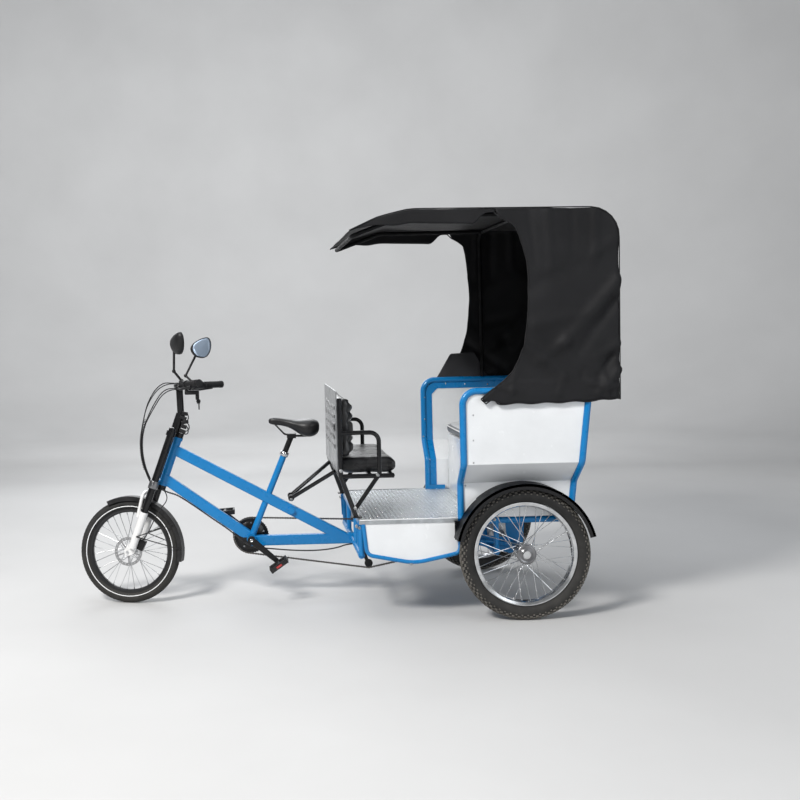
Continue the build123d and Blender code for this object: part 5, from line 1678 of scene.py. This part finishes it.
@dataclass
class SmallHeads(Fixture):
    """All rivets and bolts, set by tables of start points and directions."""

    def build(self) -> None:
        """Set the heads of the body, the bench, the frame and the cranks."""
        heads = Fasteners()
        rivets: list[tuple[Vector, Vector]] = []
        bolts: list[tuple[Vector, Vector]] = []
        # Columns: x and z of the rivets outside the side panels
        outside = ((229.0, 928.0), (231.0, 815.0), (232.0, 715.0), (252.0, 600.0), (60.0, 1000.0), (-120.0, 1000.0),
                   (-300.0, 1000.0))
        # Columns: x and z of the rivets on the flanges inside
        inside = ((270.0, 941.0), (272.0, 822.0), (280.0, 727.0), (262.0, 610.0), (44.0, 1009.0), (150.0, 1013.0),
                  (-80.0, 1005.0), (-220.0, 1000.0))
        # Columns: x and z of the bolts outside the floor's frame and the apron's trim
        low_bolts = ((750.0, 424.0), (739.0, 417.0), (509.0, 252.0), (120.0, 440.0))
        # Columns: x and z of the bolts on the bench frame
        bench = ((641.0, 649.0), (751.0, 498.0), (812.0, 671.0))
        for name, side in SIDES:
            panel, inward = (f"{name}_side_panel", f"{name}_body_frame"), (0, -side, 0)
            rivets += heads.seats(panel, [place(x, side * 800.0, z) for x, z in outside], inward)
            rivets += heads.seats(panel, [place(x, side * 100.0, z) for x, z in inside], (0, side, 0))
            bolts += heads.seats(("floor_frame", "side_aprons", "apron_trim"),
                                 [place(x, side * 800.0, z) for x, z in low_bolts], inward)
            bolts += heads.seats(("bench_frame", "bench_struts"), [place(x, side * 800.0, z) for x, z in bench],
                                 inward)
            bolts += heads.seats(("bench_struts",), [place(1033.0, side * 300.0, 494.0)], inward)
        rivets += heads.seats(("rear_panel",), [place(-900.0, y, z) for y in (-380.0, -190.0, 0.0, 190.0, 380.0)
                                                for z in (620.0, 940.0)], (1, 0, 0))
        heads.build("body_rivets", Head.RIVET, ZINC, rivets)
        heads.build("frame_bolts", Head.BOLT, ZINC, bolts)
        cranks = Fasteners(body="cranks", bolt_radius=8.0)
        caps = [seat for _, side in SIDES
                for seat in cranks.seats(("crankset",), [place(CRANK_X, side * 300.0, CRANK_Z)], (0, -side, 0))]
        cranks.build("crank_caps", Head.SOCKET, CHROME, caps)
        crown = Fasteners(body="steering", bolt_radius=8.5)
        down = (on_head(660.0, 0.0, 0.0) - on_head(760.0, 0.0, 0.0)).normalized()
        starts = [on_head(760.0, 27.0, side) for side in (65.0, -65.0)]
        tops = [(spot, -down) for spot, _ in crown.seats(("fork_uppers",), starts, tuple(down))]
        crown.build("crown_caps", Head.SOCKET, ZINC, tops)


def node_ends(name: str, side: int) -> tuple[Vector, Vector]:
    """Find the middles of both ends of a long node's part on one side.

    Args:
        name: Name of the CAD node.
        side: 1 for the part on the left, -1 for the right.

    Returns:
        The two end points in metres.
    """
    spots = [vertex.co for vertex in frame["nodes"][name].data.vertices if vertex.co.y * side > 0]
    centre = sum(spots, Vector()) / len(spots)
    far = max(spots, key=lambda spot: (spot - centre).length)
    way = (far - centre).normalized()
    reach = [(spot - centre).dot(way) for spot in spots]
    ends = []
    for limit in (min(reach), max(reach)):
        near = [spot for spot, along in zip(spots, reach) if abs(along - limit) < 4 * MM]
        ends.append(sum(near, Vector()) / len(near))
    return ends[0], ends[1]


@dataclass
class BarFittings(Fixture):
    """Ribs of the grips, binding of the cables, key in its switch, stem connectors and bands of the fork's legs."""

    body: str = "steering"
    rib_step: float = 6.5

    def _ribs(self) -> Piece:
        """Ribs round both grips."""
        rib = lathe("grip_rib", [(15.6, -1.5), (17.2, -0.8), (17.2, 0.8), (15.6, 1.5)], 20)
        spots, turns = [], []
        for _, side in SIDES:
            first, last = node_ends("grips", side)
            run = last - first
            count = int((run.length / MM - 24) / self.rib_step)
            spots += [first + run.normalized() * (12 + index * self.rib_step) * MM for index in range(count + 1)]
            turns += [run.to_track_quat("Z", "Y").to_euler()] * (count + 1)
        return Trees.points.run(points_host("grip_ribs", spots, turns), RUBBER, rib)

    def _binding(self) -> Piece:
        """Spiral binding round the hanging cables."""
        # Columns: ahead of the bar's clamp, to its left and above it
        steps = ((138, 44, -85), (177, 46, -196), (187, 47, -290), (173, 43, -392), (150, 39, -452))
        line = spline_line([steered(1576.0 + x, y, 1056.0 + z) for x, y, z in steps])
        return tube("cable_binding", helix_round(line, 8.6, 8.5, (0.2, 0.86)), 1.3, smooth_route=False, sides=6)

    def _switch(self) -> Piece:
        """Key switch under the left side of the bar."""
        barrel = lathe("switch_barrel", [(0.0, -30), (9, -30), (9, 6), (0.0, 6)], 20)
        return join_pieces("bar_switch", [block("key_switch", (70, 24, 22), 6, place(1505, 122, 1036)),
                                          set_down(barrel, place(1479, 122, 1030)),
                                          block("switch_hanger", (16, 12, 34), 3, place(1532, 118, 1056))])

    def _connectors(self) -> Piece:
        """Stack of small connectors and cable loops behind the stem."""
        # Columns: x, y and z of the middle, length and height, turn in degrees
        stack = ((1548.0, 13.0, 926.0, 30.0, 18.0, -12.0), (1556.0, 12.0, 905.0, 34.0, 16.0, -20.0),
                 (1549.0, 14.0, 884.0, 36.0, 18.0, 8.0), (1555.0, 10.0, 862.0, 30.0, 20.0, -18.0),
                 (1562.0, 12.0, 840.0, 34.0, 17.0, -24.0))
        loops = (((1562, 16, 930), (1538, 26, 938), (1528, 22, 906), (1540, 22, 884), (1556, 18, 880)),
                 ((1560, 18, 898), (1530, 26, 880), (1526, 22, 850), (1544, 20, 836), (1566, 16, 842)),
                 ((1566, 14, 872), (1536, 28, 868), (1531, 26, 830), (1550, 20, 822), (1572, 12, 836)))
        made = [set_down(block("stem_connector", (long, 20, tall), 4), place(x, y, z), about("Y", turn))
                for x, y, z, long, tall, turn in stack]
        made += [tube("stem_loop", [place(*spot) for spot in route], 2.6) for route in loops]
        return join_pieces("stem_connectors", made)

    def _leg_bands(self) -> Piece:
        """Grey band with its bolt round each fork leg below the frame."""
        made = []
        for _, side in SIDES:
            foot, top = (on_head(along, 27.0, side * 65.0) for along in (338.0, 376.0))
            band = lathe("leg_band", [(17.8, 0.0), (23, 0.0), (24, 2), (24, 36), (23, 38), (17.8, 38)], 32)
            bolt = lathe("leg_band_bolt", [(0.0, 0.0), (6, 0.0), (6, 5), (0.0, 6)], 12)
            made += [set_down(band, foot, pointing(top - foot)),
                     set_down(bolt, on_head(357.0, 27.0, side * 65.0 * 1.34), about("X", -side * 90))]
        return join_pieces("leg_bands", made)

    def _key(self) -> Piece:
        """Key that hangs from the switch."""
        bow = lathe("key_bow", [(10.5, -1.4), (10.5, 1.4), (0.0, 1.4), (0.0, -1.4)], 20)
        grip = block("key_grip", (17, 5, 16), 2, Vector((0, 0, -4)) * MM)
        blade = block("key_blade", (6, 2, 30), 0.5, Vector((-2, 0, -26)) * MM)
        tag = block("key_tag", (10, 2.4, 22), 1.0, Vector((4, 2, 12)) * MM)
        key = join_pieces("key", [set_down(bow, Vector(), about("X", 90)), grip, blade, tag])
        return set_down(key, place(1474, 122, 993))

    def build(self) -> None:
        """Build and place the fittings."""
        self.settle(self._ribs())
        self.settle(self._binding(), CABLE)
        for piece in (self._key(), self._switch(), self._connectors()):
            self.settle(piece, PLASTIC)
        self.settle(self._leg_bands(), DARK_METAL)


@dataclass
class Cables(Fixture):
    """Brake cables from the bar to the fork's crown, the brake hose, and the cable along the frame."""

    body: str = "steering"
    strand_radius: float = 2.6
    hose_radius: float = 2.4
    frame_radius: float = 3.4
    # Columns: x, side and z of each strand's points on the straight steering; the last is on its crown
    bound: Triples = ((1753.0, 46.0, 860.0), (1763.0, 47.0, 766.0), (1749.0, 43.0, 664.0))
    # Columns: side of the bar, four free points, shift in the binding, forward and side shift on the crown
    strands: tuple[tuple[object, ...], ...] = (
        (1, ((1553.8, 110.4, 1074.7), (1575.6, 84.4, 1073.8)), ((1650.0, 74.0, 1080.0), (1722.0, 56.0, 994.0)),
         (3.6, 3.6), (7.2, 3.6)),
        (1, ((1551.2, 108.3, 1051.3), (1573.0, 82.2, 1050.4)), ((1640.0, 60.0, 1046.0), (1696.0, 50.0, 972.0)),
         (-3.6, 3.6), (0.0, 3.6)),
        (-1, ((1553.8, 110.4, 1074.7), (1575.6, 84.4, 1073.8)), ((1668.0, -4.0, 1074.0), (1734.0, 36.0, 974.0)),
         (3.6, -3.6), (7.2, -3.6)),
        (-1, ((1551.2, 108.3, 1051.3), (1573.0, 82.2, 1050.4)), ((1652.0, 4.0, 1040.0), (1706.0, 34.0, 944.0)),
         (-3.6, -3.6), (0.0, -3.6)),
    )
    # Columns: along the steering axis, ahead of it, side
    hose: Triples = ((347.6, -2.0, 23.3), (346.6, -10.0, 37.0), (337.6, -40.0, 45.0), (305.6, -60.0, 47.0),
                     (257.6, -42.0, 54.0), (194.0, -30.0, 60.0), (120.0, -22.0, 56.0), (81.4, -7.3, 44.0))
    along_frame: Triples = ((1560.0, 9.0, 501.0), (1495.2, 9.0, 456.2), (1419.0, 9.0, 398.9), (1347.1, 9.0, 349.7),
                            (1241.0, 9.0, 256.6), (1147.0, 9.0, 247.6), (1027.0, 10.0, 234.6), (903.0, 9.0, 230.6),
                            (809.0, 10.0, 241.6), (759.0, 8.0, 259.3), (721.0, 8.0, 259.3))

    def _strands(self) -> Piece:
        """The four cables from the levers, drawn together in their binding."""
        made = []
        for number, (side, on_bar, free, shift, end) in enumerate(self.strands):
            spots = [steered(x, side * y, z) for x, y, z in on_bar]
            spots += [steered(*point) for point in free]
            spots += [steered(x + shift[0], y + shift[1], z) for x, y, z in self.bound]
            spots.append(on_head(347.6, 37.4 + end[0], 34.0 + end[1]))
            made.append(tube(f"strand_{number}", spots, self.strand_radius))
        return join_pieces("brake_cables", made)

    def build(self) -> None:
        """Build the three pieces and set them on their bodies."""
        hose = tube("brake_hose_line", [on_head(*point) for point in self.hose], self.hose_radius)
        frame_line = tube("frame_cable_line", [place(*point) for point in self.along_frame], self.frame_radius)
        self.settle(self._strands(), CABLE, slot="rubber", stands_for="cable_bundle")
        self.settle(hose, CABLE, slot="rubber")
        self.settle(frame_line, CABLE, "chassis", "rubber")


@dataclass
class SheetSkirts(Fixture):
    """Turned-down edges of the mudguards, the panels behind the rear wheels and the arms of the axle."""

    def _arc(self, name: str, centre: tuple[float, float], radii: tuple[float, float], sides: tuple[float, float],
             angles: tuple[float, float], turned: bool) -> Piece:
        """Strip that follows an arc about an axle.

        Args:
            name: Object name.
            centre: x and z of the axle in millimetres.
            radii: Inner and outer radius.
            sides: Lowest and highest y.
            angles: First and last angle from the front, in degrees.
            turned: Whether the strip turns with the steering.

        Returns:
            The strip.
        """
        steps = 48
        put = steered if turned else place
        rings = []
        for step in range(steps + 1):
            angle = radians(angles[0] + (angles[1] - angles[0]) * step / steps)
            rings.append([put(centre[0] + radius * cos(angle), y, centre[1] + radius * sin(angle))
                          for radius, y in zip(radii + radii[::-1], (sides[0], sides[0], sides[1], sides[1]))])
        return loft(name, rings, smooth=False)

    def _infill(self, side: int) -> Piece:
        """White sheet behind the wheel, from the side panel down to the floor."""
        panel = "left_side_panel" if side > 0 else "right_side_panel"
        rows, columns = 9, 24
        vertices = []
        for row in range(rows):
            z = 455.0 + (618.0 - 455.0) * row / (rows - 1)
            reach = max(20.0, (326.0 ** 2 - (z - REAR_Z) ** 2)) ** 0.5 + 6.0
            found = None
            for edge in (reach + 6.0, -(reach + 6.0)):
                hit, point, _, _ = frame["nodes"][panel].ray_cast(place(edge, side * 800.0, z), Vector((0, -side, 0)))
                if hit:
                    found = abs(point.y) / MM - 1.2
                    break
            y = side * (found if found is not None else 446.0)
            line = [-reach + 2 * reach * column / (columns - 1) for column in range(columns)]
            vertices += [place(x, y, z) for x in line] + [place(x, y - side * 2.0, z) for x in reversed(line)]
        size = 2 * columns
        faces = grid_faces(rows, size, closed=True)
        for base in (0, (rows - 1) * size):
            faces += [(base + c, base + c + 1, base + size - 2 - c, base + size - 1 - c) for c in range(columns - 1)]
        return close_up(mesh_piece(f"{panel}_foot", vertices, faces, smooth=False))

    def _arm(self, name: str, side: int) -> Piece:
        """Blue plate from the axle forward to the floor's rail."""
        outline = ((252.0, 436.0), (222.0, 436.0), (196.0, 354.0), (30.0, 334.0), (30.0, 264.0), (222.0, 314.0),
                   (252.0, 340.0))
        return loft(f"axle_arm_{name}", [[place(x, side * y, z) for x, z in outline] for y in (318.4, 323.6)],
                    smooth=False)

    def build(self) -> None:
        """Build every piece for both sides."""
        for name, side in SIDES:
            skirt = self._arc(f"front_guard_skirt_{name}", (FRONT_X, FRONT_Z), (246.0, 267.0),
                              sorted((side * 27.8, side * 30.2)), (65.0, 191.0), True)
            lip = self._arc(f"rear_guard_lip_{name}", (0.0, REAR_Z), (293.0, 319.5),
                            sorted((side * 545.4, side * 548.0)), (13.0, 166.0), False)
            self.settle(skirt, PLASTIC, "steering")
            self.settle(lip, GLOSS_BLACK)
            self.settle(self._infill(side), BODY_WHITE)
            self.settle(self._arm(name, side), FRAME_BLUE)


@dataclass
class CableTail(Fixture):
    """Wound cable between the fork's crown and the down tube."""

    points: Triples = ((1664.0, 24.0, 553.0), (1644.0, 19.0, 541.0), (1604.0, 12.0, 528.0), (1578.0, 9.0, 513.0),
                       (1558.0, 9.0, 499.5))

    def build(self) -> None:
        """Build the core and the winding."""
        line = spline_line([place(*point) for point in self.points])
        core = tube("tail_core", line, 3.0, smooth_route=False)
        winding = tube("tail_winding", helix_round(line, 3.9, 9.0), 1.2, smooth_route=False, sides=6)
        piece = CABLE.dress(join_pieces("cable_tail", [core, winding]))
        tuple(line[0])
        tuple(line[-1])
        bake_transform(piece)
        self.report(piece)


@dataclass
class Mirrors(Fixture):
    """Both mirrors: leaf-shaped shells with bowed glasses, on ball-jointed stalks."""

    body: str = "steering"
    # Outline in the mirror's plane: outwards along the bar and up, in millimetres
    leaf: Pairs = ((-66.0, -10.0), (-52.0, 20.0), (-14.0, 40.0), (34.0, 53.0), (64.0, 52.0), (76.0, 30.0),
                   (66.0, -10.0), (38.0, -42.0), (4.0, -54.0), (-42.0, -44.0))
    # Columns: height off the plane in millimetres, share of the outline
    shell: Pairs = ((4.0, 0.93), (6.0, 0.97), (4.0, 1.0), (-4.0, 1.0), (-13.0, 0.94), (-21.0, 0.8), (-26.0, 0.56),
                    (-28.0, 0.25))
    glass: Pairs = ((3.0, 0.93), (4.4, 0.93), (6.0, 0.75), (7.6, 0.5), (8.6, 0.25), (8.9, 0.05))

    def _dome(self, name: str, rings: Pairs, seat: Matrix) -> Piece:
        """Closed bowl over the leaf outline.

        Args:
            name: Name of the piece.
            rings: Pairs of height off the plane in millimetres and share of the outline.
            seat: Matrix from the mirror's plane to the row frame.

        Returns:
            The bowl.
        """
        line = [Vector((u, v, 0.0)) for u, v in self.leaf]
        round_line = []
        for index in range(len(line)):
            a, b, c, d = (line[(index + step) % len(line)] for step in (-1, 0, 1, 2))
            for t in (0.0, 0.25, 0.5, 0.75):
                round_line.append(0.5 * (2 * b + (c - a) * t + (2 * a - 5 * b + 4 * c - d) * t ** 2
                                         + (3 * b - a - 3 * c + d) * t ** 3))
        return loft(name, [[seat @ (Vector((spot.x * share + 4.0 * (1 - share), spot.y * share, rise)) * MM)
                            for spot in round_line] for rise, share in rings])

    def build(self) -> None:
        """Build the shells with their stalks, and the glasses, in place of the solids."""
        shells, glasses = [], []
        # Columns: side, middle of the glass, foot on the bar, elbow of the stalk
        for side, middle, foot, elbow in ((1, (1562, 204, 1276), (1555, 99, 1092), (1590, 116, 1140)),
                                          (-1, (1474, -235, 1245), (1516, -118, 1076), (1550, -150, 1106))):
            inward = radians(35.0)
            normal = Vector((-cos(inward), -side * sin(inward), 0.20)).normalized()
            normal = Matrix.Rotation(STEER_REST, 3, HEAD_UP) @ normal
            up = (Vector((0, 0, 1)) - normal * normal.z).normalized()
            across = up.cross(normal)
            if across.y * side < 0:
                across = -across
            seat = Matrix.Translation(place(*middle)) @ Matrix((across, up, normal)).transposed().to_4x4()
            shells.append(self._dome("mirror_shell", self.shell, seat))
            glasses.append(self._dome("mirror_glass", self.glass, seat))
            route = [place(*foot), place(*elbow), seat @ (Vector((-20.0, -24.0, -16.0)) * MM)]
            shells.append(tube("mirror_stalk", route, 6.2, smooth_route=False, sides=12))
            for spot, radius in zip(route, (10.0, 9.5, 10.5)):
                ball = lathe("mirror_ball", [(radius * sin(pi * step / 8), -radius * cos(pi * step / 8))
                                             for step in range(9)], 16)
                shells.append(set_down(ball, spot))
            shells.append(block("mirror_clamp", (26, 20, 34), 5, place(foot[0], foot[1], foot[2] - 14)))
        self.settle(join_pieces("mirror_shells", shells), PLASTIC, slot="black_plastic", stands_for="mirror_housings")
        # The glasses take the sky-blue finish, a painted reflection of the sky
        self.settle(join_pieces("mirror_leaf_glasses", glasses), MIRROR_PAINTED_SKY, slot="mirror", stands_for="mirror_glasses")


@dataclass
class ChainringCover(Fixture):
    """Flat cover behind the chainring's arms, with its ring of bolts."""

    body: str = "cranks"

    def build(self) -> None:
        """Set the cover against the chainring on the frame's side."""
        plate = lathe("chainring_cover", [(20, 0.0), (71, 0.0), (72, 0.4), (71, 1.6), (20, 1.6)], 64)
        angles = [2 * pi * step / 5 + 0.3 for step in range(5)]
        seats = [(place(CRANK_X + 64 * cos(angle), -50.2, CRANK_Z + 64 * sin(angle)), Vector((0, 1, 0)))
                 for angle in angles]
        Fasteners(body=self.body, bolt_radius=4.5).build("chainring_bolts", Head.SOCKET, CHROME, seats)
        self.settle(set_down(plate, place(CRANK_X, -51.9, CRANK_Z), about("X", -90)), GLOSS_BLACK)


@dataclass
class RearHubFace(Fixture):
    """Outer face of a rear hub: stepped ring, cone and the heads of the spokes."""

    name: str = "left"
    side: int = 1

    def build(self) -> None:
        """Turn the rings and set the spoke heads round them."""
        centre = sum(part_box(f"{self.name}_rear_wheel"), Vector()) / 2
        spot, turn = Vector((centre.x, self.side * 0.5, centre.z)), about("X", -self.side * 90)
        # Columns: radius, and distance from a plane half a metre from the vehicle's middle
        outline = ((41.0, 26.0), (44.0, 27.2), (44.0, 29.0), (38.0, 30.2), (33.0, 30.2), (31.0, 28.4), (27.0, 28.4),
                   (25.5, 32.0), (18.5, 34.0), (18.5, 26.0))
        face = lathe(f"{self.name}_hub_face", outline, 48)
        self.settle(set_down(face, spot, turn), DARK_METAL, f"{self.name}_wheel")
        stamp = lathe("spoke_head", [(2.6, 0.0), (2.6, 1.4), (1.2, 2.4), (0.0, 2.4)], 8)
        heads = round_axle(f"{self.name}_spoke_heads", CHROME, stamp, 18, 51.0, 24.6)
        self.settle(set_down(heads, spot, turn), body=f"{self.name}_wheel")


@dataclass
class LevelPedal(Fixture):
    """Left pedal turned on its spindle to the photograph's tilt."""

    body: str = "left_pedal_body"
    turned: float = 64.0

    def build(self) -> None:
        """Copy the pedal's solid, turn it about its spindle and let it stand for the node."""
        middle = sum(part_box("left_pedal"), Vector()) / 2
        mesh = frame["nodes"]["left_pedal"].data.copy()
        mesh.materials.clear()
        cage = close_up(add_object("left_pedal_cage", mesh), 1e-6, outwards=False)
        set_down(cage, middle, about("Y", self.turned) @ Matrix.Translation(-middle))
        teeth = [block("pedal_tooth", (5, 9, 27), 1, Vector((end * 45.0, row, 0.0)) * MM)
                 for end in (-1, 1) for row in (-30, -10, 10, 30)]
        grip = set_down(join_pieces("pedal_teeth", teeth), middle, about("Y", self.turned - 30.0))
        self.settle(join_pieces("left_pedal_cage", [cage, grip]), PLASTIC, stands_for="left_pedal")


@dataclass
class PedalReflectors(Fixture):
    """Red reflector on the outer end of each pedal."""

    def build(self) -> None:
        """Set one on each pedal."""
        for (name, side), tilt in zip(SIDES, (-34.0, -4.0)):
            low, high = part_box(f"{name}_pedal")
            middle = (low + high) / 2
            spot = Vector((middle.x, (high.y if side > 0 else low.y) + side * MM, middle.z))
            piece = set_down(block(f"{name}_pedal_reflector", (30, 4, 10), 1.0), spot, about("Y", -tilt))
            self.settle(piece, RED_REFLECTOR, f"{name}_pedal_body")


@dataclass
class BodyTrim(Fixture):
    """Bright seat clamp, the white floor edges and the blue sills."""

    def build(self) -> None:
        """Build the clamp and every strip and set them on the body."""
        way = Vector((-cos(radians(67.2)), 0.0, sin(radians(67.2))))
        spot = Vector((CRANK_X, 0.0, CRANK_Z)) + way * 445.0
        ring = lathe("seat_collar", [(17.0, -12), (21.4, -11.4), (21.4, 11.4), (17.0, 12), (17.0, -12)], 32)
        self.settle(set_down(ring, place(*spot), pointing(way)), CHROME)
        # Columns: name, size along each axis, centre for the left side, finish
        strips = (("floor_edge", (448.0, 10.0, 4.0), (515.0, 446.5, 455.0), BODY_WHITE),
                  ("door_sill", (89.0, 8.0, 22.0), (230.0, 432.0, 464.0), FRAME_BLUE))
        for label, size, (x, y, z), finish in strips:
            for name, side in SIDES:
                self.settle(block(f"{label}_{name}", size, 1.0, place(x, side * y, z)), finish)


def dress_frame() -> None:
    """Give every CAD node its finish."""
    for finish, names in NODE_FINISHES:
        for name in names.split():
            finish.dress(frame["nodes"][name])
    log.info("dressed %d nodes", len(frame["nodes"]))


def build_seats() -> None:
    """Build every cushion and the saddle."""
    Cushion(name="bench_back_pad", node="bench_back_cushion", finish=BLACK_VINYL, low=(750.0, -319.0, 718.0),
            high=(823.0, 319.0, 1009.0), channels=(742.0, 790.0, 838.0, 886.0, 934.0, 978.0), channel_depth=9.0,
            channel_width=10.0, wander=7.0).build()
    Cushion(name="bench_seat_pad", node="bench_seat_cushion", finish=BLACK_VINYL, low=(533.0, -319.0, 655.5),
            high=(823.0, 319.0, 714.0), voxel=7.0, channel_axis=1, channels=(-160.0, 0.0, 160.0),
            channel_depth=3.0).build()
    Cushion(name="passenger_seat_pad", node="passenger_cushion", finish=GREY_VINYL, low=(-222.0, -445.0, 753.0),
            high=(185.0, 445.0, 809.0), voxel=8.0, piping=3.2, piping_finish=PIPING,
            face_finish=DARK_GREY_VINYL, slot="grey_vinyl").build()
    Cushion(name="passenger_back_pad", node="passenger_backrest", finish=GREY_VINYL, low=(-277.0, -502.0, 813.0),
            high=(-219.0, 502.0, 1163.0), lean=-38.0, voxel=9.0, channel_axis=1,
            channels=(-335.0, -167.0, 0.0, 167.0, 335.0), channel_depth=7.0, slot="grey_vinyl").build()
    Saddle().build()


def build_wheels() -> None:
    """Dress the three wheels."""
    joints = {joint["name"]: joint for joint in frame["joints"]}
    front_axle = Vector(joints["front_wheel_spin"]["axis"])
    WireWheelDress(body="front_wheel", centre=FRONT_HUB, axle=front_axle).build()
    for name, side in SIDES:
        centre = sum(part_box(f"{name}_rear_wheel"), Vector()) / 2
        WireWheelDress(body=f"{name}_wheel", name=f"{name}_rear", tyre_node=f"{name}_rear_tyre", centre=centre,
                       axle=Vector((0, side, 0)), outer=296.0, width=68.0, bead=236.0, rim_inner=218.0, spokes=36,
                       knobs=64, knobby=True).build()


def main() -> None:
    """Build the scene in order, from the studio to the last fitting."""
    logging.basicConfig(level=logging.INFO, format="%(message)s")
    Studio().build()
    dress_frame()
    Hood().build()
    build_seats()
    build_wheels()
    for fixture in (Chain(), CheckerFloor(), SmallHeads(), BarFittings(), Cables(), CableTail(), SheetSkirts(),
                    LevelPedal(), PedalReflectors(), Mirrors(), ChainringCover(),
                    *(RearHubFace(name=name, side=side) for name, side in SIDES), BodyTrim()):
        fixture.build()


if __name__ == "__main__":
    main()
